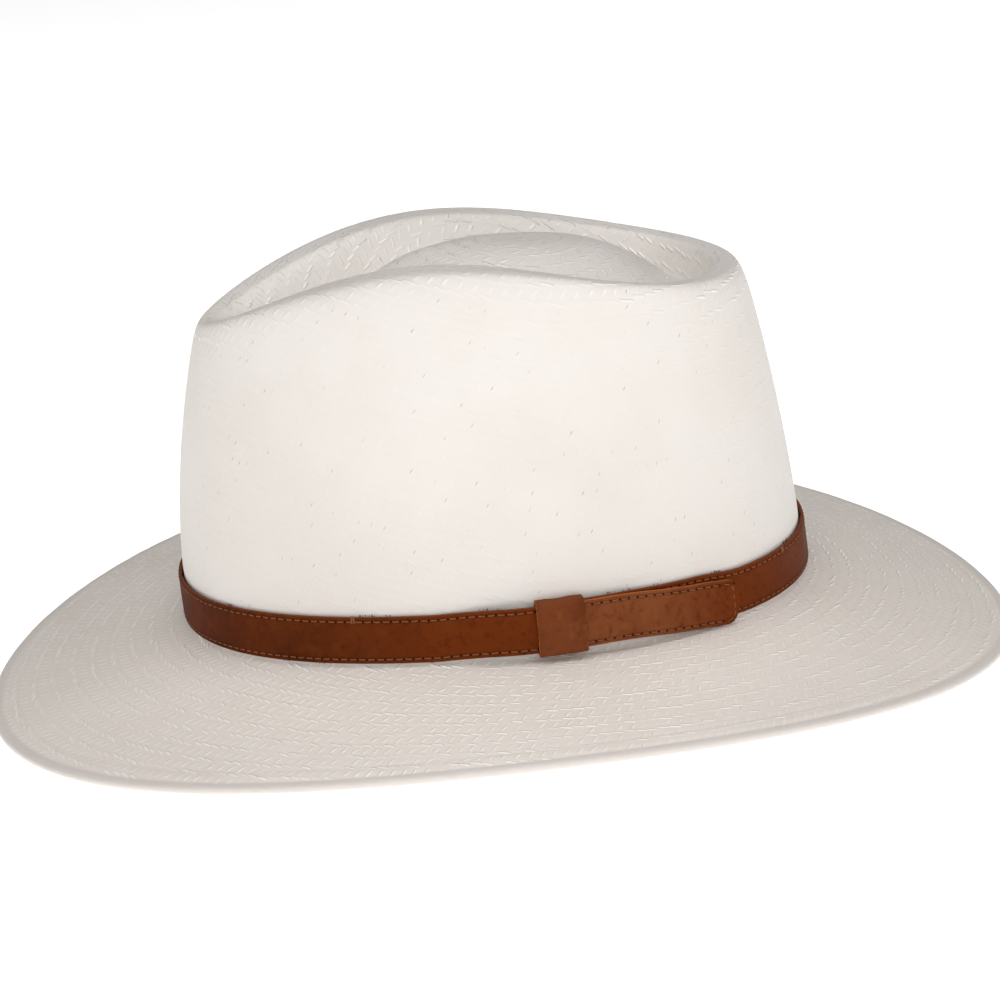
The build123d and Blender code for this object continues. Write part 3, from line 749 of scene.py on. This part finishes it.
def straw_sheet(name, weave, low, high, rings_per_row, depth, material, inside=False, hem_line=False):
    """Part of the woven sheet; low and high are the rows counted on each meridian at its two edges.

    The mesh's "edge" is 1 on the wall, where the straw was pressed on the block, and on the brim's rolled edge.
    """
    first = int(math.floor(low.min() * rings_per_row))
    last = int(math.ceil(high.max() * rings_per_row))
    steps = np.arange(first, last + 1)[:, None] / rings_per_row
    at = np.clip(steps, low, high)
    grid = weave.surface(at, depth, -ROW_RELIEF if inside else ROW_RELIEF, hem_line)
    rings, cols = at.shape
    ids = np.arange(rings * cols).reshape(rings, cols)
    starts = (steps <= low).sum(axis=0) - 1
    ends = np.argmax(steps >= high, axis=0)
    ids = ids[np.clip(np.arange(rings)[:, None], np.maximum(starts, 0), ends), np.arange(cols)]
    if low.max() <= 0.0:
        ids[0] = 0
    r, c = grid_faces(rings, cols, wrap_cols=True)
    corner = ids[r, c % cols]
    lane = weave.lanes[(r[:, 0] + first) // rings_per_row][:, None]
    uv = stack(c / cols * lane, at[r, c % cols])
    if not inside:
        corner, uv = corner[:, ::-1], uv[:, ::-1]
    same = corner == np.roll(corner, -1, axis=1)
    lost = same.sum(axis=1)
    picks = [(lost == 0, [0, 1, 2, 3])]
    picks += [((lost == 1) & same[:, side], [k for k in range(4) if k != side]) for side in range(4)]
    faces, uvs = ([field[chosen][:, kept] for chosen, kept in picks] for field in (corner, uv))
    used, renumbered = np.unique(np.concatenate([face.ravel() for face in faces]), return_inverse=True)
    parts = np.split(renumbered, np.cumsum([face.size for face in faces])[:-1])
    faces = [part.reshape(face.shape) for part, face in zip(parts, faces)]
    if hem_line:
        pressed = smooth((ROLLED_REACH - np.abs(weave.at_rows(at, weave.to_edge))) / ROLLED_RAMP)
    else:
        pressed = smooth((at - weave.counts[weave.crest_at] - PRESSED_FROM) / PRESSED_RAMP)
    return mesh_object(name, grid.reshape(-1, 3)[used], faces, uvs, material, edge=pressed.ravel()[used])


def make_straw():
    weave = Weave(WEAVE_COLUMNS)
    middle = np.zeros(weave.columns)
    foot, rim = weave.counts[weave.break_at], weave.counts[-1]
    hem = np.array([np.interp(cut[weave.edge_at] - HEM_WIDTH + STRAW, cut[:weave.edge_at], count[:weave.edge_at])
                    for cut, count in zip(weave.cuts.T, weave.counts.T)])
    for sheet in (
        straw_sheet("straw_crown", weave, middle, foot, FINE_RINGS, 0.0, STRAW_CROWN),
        straw_sheet("straw_brim", weave, foot, rim, FINE_RINGS, 0.0, STRAW_BRIM, hem_line=True),
        straw_sheet("straw_inside", weave, middle, foot, COARSE_RINGS, STRAW, STRAW_IN, inside=True),
        straw_sheet("straw_underside", weave, foot, hem, FINE_RINGS, STRAW, STRAW_IN, inside=True),
    ):
        finish_piece(sheet, "hat", "straw", "straw_body")


def make_hem_stitches():
    """Tiny stitches in the hem's groove; most of each stitch is sunk between the straws."""
    def reach(turn):
        return brim_width(turn) - HEM_WIDTH + HEM_SEAM

    def steps_between(turn):
        return np.linalg.norm(np.diff(brim_point(turn, reach(turn)), axis=0), axis=-1)

    turn = equal_turns(steps_between, HEM_STITCH_PITCH)
    middle, along, across = seam_frame(brim_point, turn, reach(turn), MM)
    up = unit(np.cross(across, along))
    stitched_piece("hem_stitches", (middle - up * 0.22 * MM, along, across * -1.0, up), PALE_THREAD,
                   "straw_thread", "brim_hem_thread", length=2.2 * MM, radius=0.17 * MM)


# ======== band
def nearness(turn, middle, reach, ramp):
    """1 within `reach` of a place on the hat, and falling to 0 over the `ramp` beyond."""
    away = np.abs((turn - middle + math.pi) % TAU - math.pi)
    return smooth(1.0 - (away - reach) / ramp)


def near_keeper(turn):
    """1 wherever the keeper can slide."""
    reach = (KEEPER_TRAVEL + KEEPER_LENGTH / 2.0 + KEEPER_GAP) / stride(KEEPER_TURN)
    return nearness(turn, KEEPER_TURN, reach, STANDOFF_RAMP)


def standoff(turn):
    """Gap between straw and band: wider beside the keeper, whose back leg passes through it."""
    return BAND_SEAT + (KEEPER_STANDOFF - BAND_SEAT) * near_keeper(turn)


def band_foot(turn):
    """Height of the band's lower edge over the break, without the tail's sag."""
    level = break_point(KEEPER_TURN)[2] - break_point(turn)[..., 2]
    rise = BAND_RISE * nearness(turn, RISE_TURN, RISE_REACH, RISE_RAMP)
    return BAND_LIFT + rise + level * near_keeper(turn)


def lap_lift(turn):
    """Rise of the tail over the band's hidden end; turns run past a full circle there."""
    landing = BAND_START_TURN + TAU - LAP_LANDING
    return (BAND_STACK + BAND_LAP_GAP) * smooth(1.0 - (landing - turn) / LAP_RAMP)


class Path:
    """The band's line from its hidden end to the tail's tip, by length in metres."""

    def __init__(self):
        self.turns = np.linspace(BAND_START_TURN, BAND_TIP_TURN + TAU, 4001)
        self.lengths = walk(break_steps(self.turns))
        self.total = self.lengths[-1]

    def turn(self, length):
        return np.interp(length, self.lengths, self.turns)

    def length(self, turn):
        return np.interp(turn, self.turns, self.lengths)

    def inset(self, length, radius):
        """How far one of the band's edges draws in towards the rounded tip."""
        left = np.clip(self.total - length, 0.0, radius)
        return radius - np.sqrt(np.maximum(radius ** 2 - (radius - left) ** 2, 0.0))

    def sag(self, length):
        """The free tail hangs a little under the band beneath it."""
        return TAIL_SAG * smooth((length - self.total + TAIL_SAG_LENGTH) / TAIL_SAG_LENGTH)

    def point(self, length, height, depth):
        """A point at a height over the band's lower edge, `depth` over the lining's back."""
        turn = self.turn(length)
        out = standoff(turn) + lap_lift(turn) + depth
        return band_point(turn, band_foot(turn) + height - self.sag(length), out)


PATH = Path()
# Near its tip the band takes a painted sheen, the first colour of `tail`.
BAND_FACE = leather_material(
    "band_leather", (66, 24, 2), (90, 38, 6), (112, 52, 16),
    seams=(SEAM_MARGIN / MM, (BAND_WIDTH - SEAM_MARGIN) / MM), flesh=(116, 66, 44),
    tail=(PATH.total / MM, (132, 74, 42), (168, 92, 44)))


def rounded_strip(width, thick, front_round, back_round, face_points, pillow):
    """Closed section of a leather strip: (across, depth) points, and how much each is a cut edge.

    It runs along the back, over the top edge, down the front and round the bottom edge.
    """
    def corner(across, depth, radius, first, last, steps=5):
        angles = np.linspace(first, last, steps)
        return [(across + radius * math.cos(angle), depth + radius * math.sin(angle)) for angle in angles]

    back = [(across, 0.0) for across in np.linspace(back_round, width - back_round, 6)]
    top = corner(width - back_round, back_round, back_round, -math.pi / 2.0, 0.0, 3)[1:]
    top += corner(width - front_round, thick - front_round, front_round, 0.0, math.pi / 2.0)
    front = [(across, thick) for across in np.linspace(width - front_round, front_round, face_points)[1:-1]]
    bottom = corner(front_round, thick - front_round, front_round, math.pi / 2.0, math.pi)
    bottom += corner(back_round, back_round, back_round, math.pi, 1.5 * math.pi, 3)[:-1]
    section = np.array(back + top + front + bottom)
    worn = np.repeat([0.6, 1.0, 0.0, 1.0], [len(back), len(top), len(front), len(bottom)])
    lightened = worn * np.clip(1.3 * (thick - section[:, 1]) / front_round, 0.0, 1.0)
    section[:, 1] += np.where(worn < 0.1, pillow(section[:, 0]), 0.0)
    return section, lightened


def keeper_pillow(across):
    return 0.10 * MM * np.sin(across * 700.0) * np.sin(across * 190.0)


def strap_pillow(across):
    """The face swells between its two seams and dips along them."""
    half = BAND_WIDTH / 2.0 - SEAM_MARGIN
    away = (across - BAND_WIDTH / 2.0) / half
    swell = 0.14 * MM * np.clip(1.0 - np.abs(away) ** 4, 0.0, 1.0)
    dip = 0.14 * MM * np.exp(-((np.abs(away) - 1.0) * half / (0.55 * MM)) ** 2)
    return swell - dip


def strap_piece(name, inner, outer, margin, step, material, pillow, face_points=27, front_round=0.42 * MM):
    """A strip along the band between two depths, with its edges kept in by a margin."""
    width = BAND_WIDTH - 2.0 * margin
    section, worn = rounded_strip(width, outer - inner, front_round, 0.15 * MM, face_points, pillow)
    end = PATH.total - margin
    body = np.linspace(margin, end - TIP_LOW, int((end - margin - TIP_LOW) / step))
    curl = end - TIP_LOW * (1.0 - np.sin(np.linspace(0.0, math.pi / 2.0, 21)[1:]))
    lengths = np.concatenate([body, curl])[:, None]
    low, high = PATH.inset(lengths + margin, TIP_LOW), PATH.inset(lengths + margin, TIP_HIGH)
    across = margin + low + section[:, 0] * (width - low - high) / width
    points = PATH.point(lengths, across, inner + section[:, 1])
    edge = np.broadcast_to(worn, across.shape).copy()
    edge[-2:] = np.maximum(edge[-2:], 0.9)
    uv = stack(lengths, np.concatenate([across, across[:, :1]], axis=1)) / MM
    return grid_object(name, points, uv, material, wrap_cols=True, caps=True, edge=edge)


def tube_faces(count, rings, sides):
    """Faces of many open tubes, and the ring and side that each corner is on."""
    r, c = grid_faces(rings, sides, wrap_cols=True)
    first = np.arange(count)[:, None, None] * rings * sides
    return (first + r * sides + c % sides).reshape(-1, 4), r, c


def stitch_rings(length, lift, radius):
    """Template of one stitch along x, as rings of points: it dives into the leather at both ends."""
    along = np.array([-0.5, -0.44, -0.3, -0.12, 0.12, 0.3, 0.44, 0.5]) * length
    rise = lift * np.array([-1.2, -0.2, 0.62, 1.0, 1.0, 0.62, -0.2, -1.2])
    fat = radius * np.array([0.7, 0.9, 1.0, 1.04, 1.04, 1.0, 0.9, 0.7])
    angle = np.arange(6) * TAU / 6.0
    fat = fat[:, None]
    return stack(along[:, None], fat * np.cos(angle), rise[:, None] + fat * np.sin(angle) * 0.8)


def stitched_piece(name, places, material, slot_name, *nodes, length=STITCH_LENGTH, lift=0.13 * MM,
                   radius=THREAD_RADIUS):
    """Many stitches as one piece; places are (middle, along, across, out) as arrays."""
    middle, along, across, out = places
    rings = stitch_rings(length, lift, radius)
    count = len(middle)
    along = along + across * (np.sin(np.arange(count) * 2.399) * 0.06)[:, None]
    points = middle[:, None, None] + sum(rings[..., axis, None] * direction[:, None, None]
                                         for axis, direction in enumerate((along, across, out)))
    faces, r, c = tube_faces(count, *rings.shape[:2])
    uv = stack(r * 0.6 + np.arange(count)[:, None, None] * 0.37, c / 6.0)
    piece = mesh_object(name, points.reshape(-1, 3), [faces], [uv.reshape(-1, 4, 2)], material)
    finish_piece(piece, "hat", slot_name, *nodes)


def band_frame(length, height, depth):
    """Middle, along, across and out directions on the band's face."""
    middle = PATH.point(length, height, depth)
    along = unit(PATH.point(length + 0.2 * MM, height, depth) - PATH.point(length - 0.2 * MM, height, depth))
    across = unit(PATH.point(length, height + 0.2 * MM, depth) - middle)
    return middle, along, across, np.cross(across, along) * -1.0


def make_band():
    strap = strap_piece("band_leather", BAND_LINING + GLUE_LINE, BAND_STACK, 0.0, 0.8 * MM, BAND_FACE,
                        strap_pillow)
    finish_piece(strap, "hat", "band_leather", "hatband_strap")
    lining = strap_piece("band_lining", 0.0, BAND_LINING, 0.25 * MM, 1.5 * MM, LINING, np.zeros_like, 8,
                         0.12 * MM)
    finish_piece(lining, "hat", "band_lining", "hatband_lining")
    spots = (np.arange(int((PATH.total - TIP_LOW - SEAM_MARGIN / 2.0) / STITCH_PITCH)) + 0.5) * STITCH_PITCH
    for side, height in (("lower", SEAM_MARGIN), ("upper", BAND_WIDTH - SEAM_MARGIN)):
        stitched_piece(f"band_{side}_stitches", band_frame(spots, height, BAND_STACK - 0.06 * MM), TAN_THREAD,
                       "tan_thread", f"hatband_{side}_thread")
    tip_stitches()
    tacks()
    fibres()


def tip_stitches():
    """The seam round the tail's tip, from one long seam to the other."""
    angle = np.linspace(0.0, math.pi / 2.0, 31)
    low, high = TIP_LOW - SEAM_MARGIN, TIP_HIGH + 1.2 * MM - SEAM_MARGIN
    wide = BAND_WIDTH - 2.0 * SEAM_MARGIN
    falling, rising = 1.0 - np.sin(angle), 1.0 - np.cos(angle)
    back = np.concatenate([low * falling, high * rising, [low]])
    across = np.concatenate([low * rising, wide - high * falling, [wide]]) + SEAM_MARGIN
    back = PATH.total - SEAM_MARGIN - back
    walked = walk(np.hypot(np.diff(across), np.diff(back)))
    spots = middles(walked[-1], int(round(walked[-1] / STITCH_PITCH)))
    at, height = np.interp(spots, walked, back), np.interp(spots, walked, across)
    ahead = np.interp(spots + 0.1 * MM, walked, back) - at
    rise = np.interp(spots + 0.1 * MM, walked, across) - height
    middle, along, up, out = band_frame(at, height, BAND_STACK - 0.04 * MM)
    size = np.hypot(ahead, rise)
    direction = along * (ahead / size)[:, None] + up * (rise / size)[:, None]
    stitched_piece("tail_tip_stitches", (middle, direction, np.cross(out, direction), out), TAN_THREAD,
                   "tan_thread", "tail_tip_thread")


def tacks():
    """Short upright stitches over the top margin, in pairs, which hold the band to the crown."""
    turns = np.repeat([turn if turn > BAND_TIP_TURN else turn + TAU for turn in TACK_TURNS], 2)
    lengths = PATH.length(turns) + np.tile([-0.35, 0.35], len(TACK_TURNS)) * MM
    height = BAND_WIDTH - SEAM_MARGIN / 2.0 - 0.1 * MM
    middle, along, up, out = band_frame(lengths, height, BAND_STACK - 0.02 * MM)
    stitched_piece("band_tacks", (middle, up, along * -1.0, out), TAN_THREAD, "tan_thread", "hatband_tacks",
                   length=2.4 * MM, radius=0.3 * MM)


def fibres():
    """Loose dark fibres of the lining that stand out over the band's edges, in small tufts."""
    rng = np.random.default_rng(FIBRE_SEED)
    points = []
    for tuft in rng.uniform(0.0, PATH.total, FIBRE_TUFTS):
        low_edge = rng.random() < 0.25
        foot, sign, share = (-0.1 * MM, -1.0, 0.7) if low_edge else (BAND_WIDTH + 0.1 * MM, 1.0, 1.0)
        for _ in range(rng.integers(2, 6)):
            length = np.clip(tuft + rng.normal(0.0, 0.8 * MM), 0.0, PATH.total - 6.0 * MM)
            tall = rng.uniform(0.2, 0.65) * MM * share
            lean = rng.normal(0.0, 0.5) * tall
            depth = rng.uniform(0.1, 0.5) * MM
            base = PATH.point(length, foot - sign * 0.5 * MM, depth)
            mid = PATH.point(length + lean * 0.4, foot + sign * tall * 0.55, depth + rng.uniform(-0.1, 0.3) * MM)
            end = PATH.point(length + lean, foot + sign * tall, depth + 0.2 * MM)
            side = unit(PATH.point(length + 0.1 * MM, foot, depth) - PATH.point(length, foot, depth))
            out = outward(PATH.turn(length))
            for centre, fat in ((base, 0.12 * MM), (mid, 0.1 * MM), (end, 0.04 * MM)):
                points += [centre + (side * math.cos(angle) + out * math.sin(angle)) * fat
                           for angle in (0.0, TAU / 3.0, 2.0 * TAU / 3.0)]
    faces, _, _ = tube_faces(len(points) // 9, 3, 3)
    piece = mesh_object("band_fibres", np.array(points), [faces], [np.zeros(faces.shape + (2,))], LINING)
    finish_piece(piece, "hat", "band_lining")


# ======== keeper
def keeper_radius():
    """Radius of the break's curve at the keeper."""
    step = 0.02
    ahead, behind = KEEPER_TURN + step, KEEPER_TURN - step
    swing = math.acos(float(np.clip(outward(ahead) @ outward(behind), -1.0, 1.0)))
    path = break_point(ahead) - break_point(behind)
    return math.hypot(path[0], path[1]) / swing


def keeper_route(near, far, low, high):
    """Closed line round the band: points in steps of about 0.8 mm, and the way each faces."""
    route = []
    near, far, low, high = near + KEEPER_BEND, far - KEEPER_BEND, low + KEEPER_BEND, high - KEEPER_BEND
    for across, up, start in ((far, high, 0.0), (near, high, 90.0), (near, low, 180.0), (far, low, 270.0)):
        angle = np.radians(np.linspace(start, start + 90.0, 6))
        route.append(stack(across, up, np.cos(angle), np.sin(angle)))
    route = np.concatenate(route)
    dense = []
    for a, b in zip(route, np.roll(route, -1, axis=0)):
        parts = max(1, int(round(math.hypot(b[0] - a[0], b[1] - a[1]) / (0.8 * MM))))
        dense += [a + (b - a) * k / parts for k in range(parts)]
    dense = np.array(dense)
    facing = unit(dense[:, 2:])
    return dense[:, :2] + facing * KEEPER_BEND, facing


def make_keeper():
    """Loop of thin leather round the band, in the frame of its slide about an upright line."""
    radius = keeper_radius()
    out = outward(KEEPER_TURN)
    along = np.array([-out[1], out[0], 0.0])
    pivot = break_point(KEEPER_TURN) - out * radius
    tilt = float((band_point(KEEPER_TURN, MM, 0.0) - break_point(KEEPER_TURN)) @ out) / MM
    layers = 2.0 * BAND_STACK + BAND_LAP_GAP + KEEPER_SLACK
    near, far = KEEPER_GAP + KEEPER_LEATHER, KEEPER_STANDOFF + layers + KEEPER_GAP
    foot = float(band_foot(KEEPER_TURN))
    low, high = foot - KEEPER_EDGE_GAP, foot + BAND_WIDTH + KEEPER_EDGE_GAP
    core, facing = keeper_route(near, far, low, high)
    section, worn = rounded_strip(KEEPER_LENGTH, KEEPER_LEATHER, 0.3 * MM, 0.2 * MM, 21, keeper_pillow)
    offset = section[:, 0] - KEEPER_LENGTH / 2.0
    walked = walk(np.hypot(*np.diff(np.vstack([core, core[:1]]), axis=0).T))
    frayed = 0.12 * MM * np.sin(walked[:-1, None] * 5200.0) * np.sin(walked[:-1, None] * 1900.0 + 1.0)
    bulge = 0.25 * MM * np.sin(np.clip((core[:, 1] - low) / (high - low), 0.0, 1.0) * math.pi)
    thick = section[:, 1] + (bulge * (facing[:, 0] > 0.9))[:, None]
    reach = radius + tilt * core[:, 1:] + core[:, :1] + facing[:, :1] * thick
    swing = (offset + np.sign(offset) * frayed * (worn > 0.5)) / radius
    points = pivot + out * (reach * np.cos(swing))[..., None] + along * (reach * np.sin(swing))[..., None]
    points[..., 2] += core[:, 1:] + facing[:, 1:] * thick
    uv = stack(walked[:, None], np.append(section[:, 0], section[0, 0])) / MM
    piece = grid_object("keeper", points, uv, KEEPER_FACE, wrap_rows=True, wrap_cols=True,
                        edge=np.broadcast_to(worn, swing.shape))
    finish_piece(piece, "keeper", "keeper_leather", "keeper_loop")


# ======== sweatband
def seam_dent(across):
    return -0.2 * MM * np.exp(-((across + SWEATBAND_FOOT - SWEATBAND_SEAM) / (0.9 * MM)) ** 2)


def round_columns(columns):
    """Turns of equal columns round the hat, and the lengths in millimetres at all their borders."""
    turn = np.arange(columns) * TAU / columns
    return turn, walk(stride(turn) * TAU / columns) / MM


def make_sweatband():
    turn, lengths = round_columns(360)
    section, worn = rounded_strip(SWEATBAND_HEIGHT - SWEATBAND_FOOT, SWEATBAND_LEATHER, 0.45 * MM, 0.3 * MM, 31,
                                  seam_dent)
    height = SWEATBAND_FOOT + section[:, 0]
    wave = smooth((height - WAVE_FROM) / WAVE_RAMP)
    ripple = 0.28 * MM * np.sin(turn * 23.0) + 0.2 * MM * np.sin(turn * 37.0 + 1.0)
    inward = SWEATBAND_BACK + section[:, 1] + (0.35 * MM + ripple[:, None] * 0.6) * wave
    points = sweatband_point(turn[:, None], height, inward)
    uv = stack(lengths[:, None], (np.append(height, height[0]) / MM)[::-1])
    piece = grid_object("sweatband_leather", points[:, ::-1], uv, SWEAT_FACE, wrap_rows=True, wrap_cols=True,
                        edge=np.broadcast_to(worn[::-1], inward.shape))
    finish_piece(piece, "hat", "sweatband_leather", "sweatband")
    seam_stitches()
    reed()
    bow()


def seam_stitches():
    """The seam that holds the sweatband to the straw, seen from inside."""
    def face(turn, height):
        return sweatband_point(turn, height, SWEATBAND_FACE - 0.05 * MM)

    turn = equal_turns(break_steps, STITCH_PITCH)
    middle, along, up = seam_frame(face, turn, np.full_like(turn, SWEATBAND_SEAM), 0.2 * MM)
    stitched_piece("sweatband_stitches", (middle, along, up, np.cross(along, up) * -1.0), PALE_THREAD,
                   "sweat_thread", "sweatband_thread")


def reed():
    """Stiffening cord in its ribbed tape along the foot of the sweatband."""
    sides = 12
    turn, lengths = round_columns(480)
    angle = np.arange(sides) * TAU / sides
    fat = REED_RADIUS * (1.0 + 0.05 * np.sin(turn * 180.0))[:, None]
    inward = SWEATBAND_FACE + GLUE_LINE + REED_RADIUS + fat * np.cos(angle)
    points = sweatband_point(turn[:, None], REED_LIFT + fat * np.sin(angle), inward)
    uv = stack(lengths[:, None], np.arange(sides + 1) / sides * 5.6)
    piece = grid_object("sweatband_reed_tape", points, uv, REED_TAPE, wrap_rows=True, wrap_cols=True)
    finish_piece(piece, "hat", "reed_tape", "sweatband_reed")


def ribbon(line, wide):
    """Points, squares, uvs and end faces of a ribbon along (across, up, inward) places, and as wide as `wide`."""
    order = np.array([0, 2, 4, 6, 8, 9, 7, 5, 3, 1])  # of the points round it, from edge to edge and back
    rows, size = len(line), len(order)
    x, y, z = line.T[..., None, None]
    side = np.linspace(-0.5, 0.5, size // 2)[:, None]
    bulge = 0.25 * MM * np.cos(side * TAU) * np.sin(np.linspace(0.0, math.pi, rows))[:, None, None]
    inward = SWEATBAND_FACE + GLUE_LINE + 0.1 * MM + z + np.array([0.0, 0.16 * MM]) + bulge
    points = sweatband_point(math.pi - x / (BREAK_WIDTH / 2.0), BOW_LIFT + y + side * wide[:, None, None], inward)
    r, c = grid_faces(rows, size, wrap_cols=True)
    round_it = order[c % size]
    ends = np.array([order[[0, k, k + 1]] + row * size for row in (0, rows - 1) for k in range(1, size - 1)])
    return points.reshape(-1, 3), r * size + round_it, stack(r * 1.2, round_it * 0.5), ends


def bow():
    """Small flat ribbon bow at the back of the sweatband: two loops, two ends and a knot."""
    parts = []
    share, angle = np.linspace(0.0, 1.0, 9), np.linspace(0.0, math.pi, 21)
    swell = np.sin(angle)
    for sign in (-1.0, 1.0):
        across = sign * (1.2 * MM + (BOW_LENGTH / 2.0 - 1.2 * MM) * swell ** 0.7)
        inward = 0.9 * MM * (1.0 - np.cos(angle)) / 2.0 + 0.5 * MM * swell
        parts.append(ribbon(stack(across, 0.4 * MM * swell, inward), 2.4 * MM + (BOW_HEIGHT - 3.4 * MM) * swell))
        end = stack(sign * (0.8 * MM + 8.4 * MM * share), -3.4 * MM * share, 0.1 * MM)
        parts.append(ribbon(end, 2.2 * MM + 1.6 * MM * share))
    across = np.linspace(-1.88 * MM, 1.88 * MM, 9)
    knot = stack(across, 0.0, 1.15 * MM * np.cos(across / (1.9 * MM) * math.pi / 2.0) ** 0.5)
    parts.append(ribbon(knot, np.full(9, 3.6 * MM)))
    starts = np.cumsum([0] + [len(part[0]) for part in parts])
    points, faces, uvs, ends = (np.concatenate(kind) for kind in zip(*(
        (points, faces + start, uv, end + start) for start, (points, faces, uv, end) in zip(starts, parts))))
    corners = np.broadcast_to([(0.0, 0.0), (1.0, 0.0), (1.0, 1.0)], ends.shape + (2,))
    piece = mesh_object("sweatband_bow_ribbon", points, [faces, ends], [uvs, corners], RIBBON, sharp_degrees=50.0)
    finish_piece(piece, "hat", "ribbon", "sweatband_bow")


# ======== room, light and camera
def plain_material(name, shade, rough, glow=0.0):
    n = Nodes(name)
    return n.finish(Base_Color=n.mix(n.noise(3.0, 1.0) * 0.04, shade, (240, 240, 240)), Roughness=rough,
                    Emission_Color=(255, 255, 255), Emission_Strength=glow)


def make_room():
    mesh = bpy.data.meshes.new("floor")
    mesh.from_pydata([(x * FLOOR_HALF, y * FLOOR_HALF, FLOOR_LEVEL)
                      for x, y in ((-1.0, -1.0), (1.0, -1.0), (1.0, 1.0), (-1.0, 1.0))], [], [(0, 1, 2, 3)])
    mesh.materials.append(plain_material("floor_white", (252, 252, 252), 0.9, FLOOR_GLOW))
    floor = add_to_scene("floor", mesh)
    world = bpy.data.worlds.new("studio")
    world.use_nodes = True
    background = world.node_tree.nodes["Background"].inputs
    background["Color"].default_value = (1.0, 1.0, 1.0, 1.0)
    background["Strength"].default_value = WORLD_STRENGTH
    bpy.context.scene.world = world
    bpy.context.scene.view_settings.view_transform = "Standard"


def area_light(name, azimuth, elevation, distance, size, power):
    """Square soft light, turned to the hat."""
    data = bpy.data.lights.new(name, "AREA")
    data.size, data.energy = size, power
    back = heading(math.radians(azimuth), math.radians(elevation))
    light = add_to_scene(name, data)
    light.location = back * distance + Vector(LIGHT_AIM)
    light.rotation_mode = "QUATERNION"
    light.rotation_quaternion = (-back).to_track_quat("-Z", "Y")


def make_camera():
    back = heading(CAMERA_AZIMUTH, CAMERA_ELEVATION)
    right = Vector((math.cos(CAMERA_AZIMUTH), math.sin(CAMERA_AZIMUTH), 0.0))
    up = back.cross(right)
    cos, sin = math.cos(CAMERA_ROLL), math.sin(CAMERA_ROLL)
    turn = Matrix((right * cos + up * sin, up * cos - right * sin, back)).transposed()
    data = bpy.data.cameras.new("camera")
    data.lens = CAMERA_FOCAL_PX / IMAGE_PX * data.sensor_width
    data.clip_start, data.clip_end = 0.01, 50.0
    camera = add_to_scene("camera", data)
    aim = Vector(GROUND) + Vector(CAMERA_AIM)
    camera.matrix_world = Matrix.Translation(aim + back * CAMERA_DISTANCE) @ turn.to_4x4()
    bpy.context.scene.camera = camera


make_straw()
make_hem_stitches()
make_band()
make_keeper()
make_sweatband()
make_room()
for light in LIGHTS:
    area_light(*light)
make_camera()
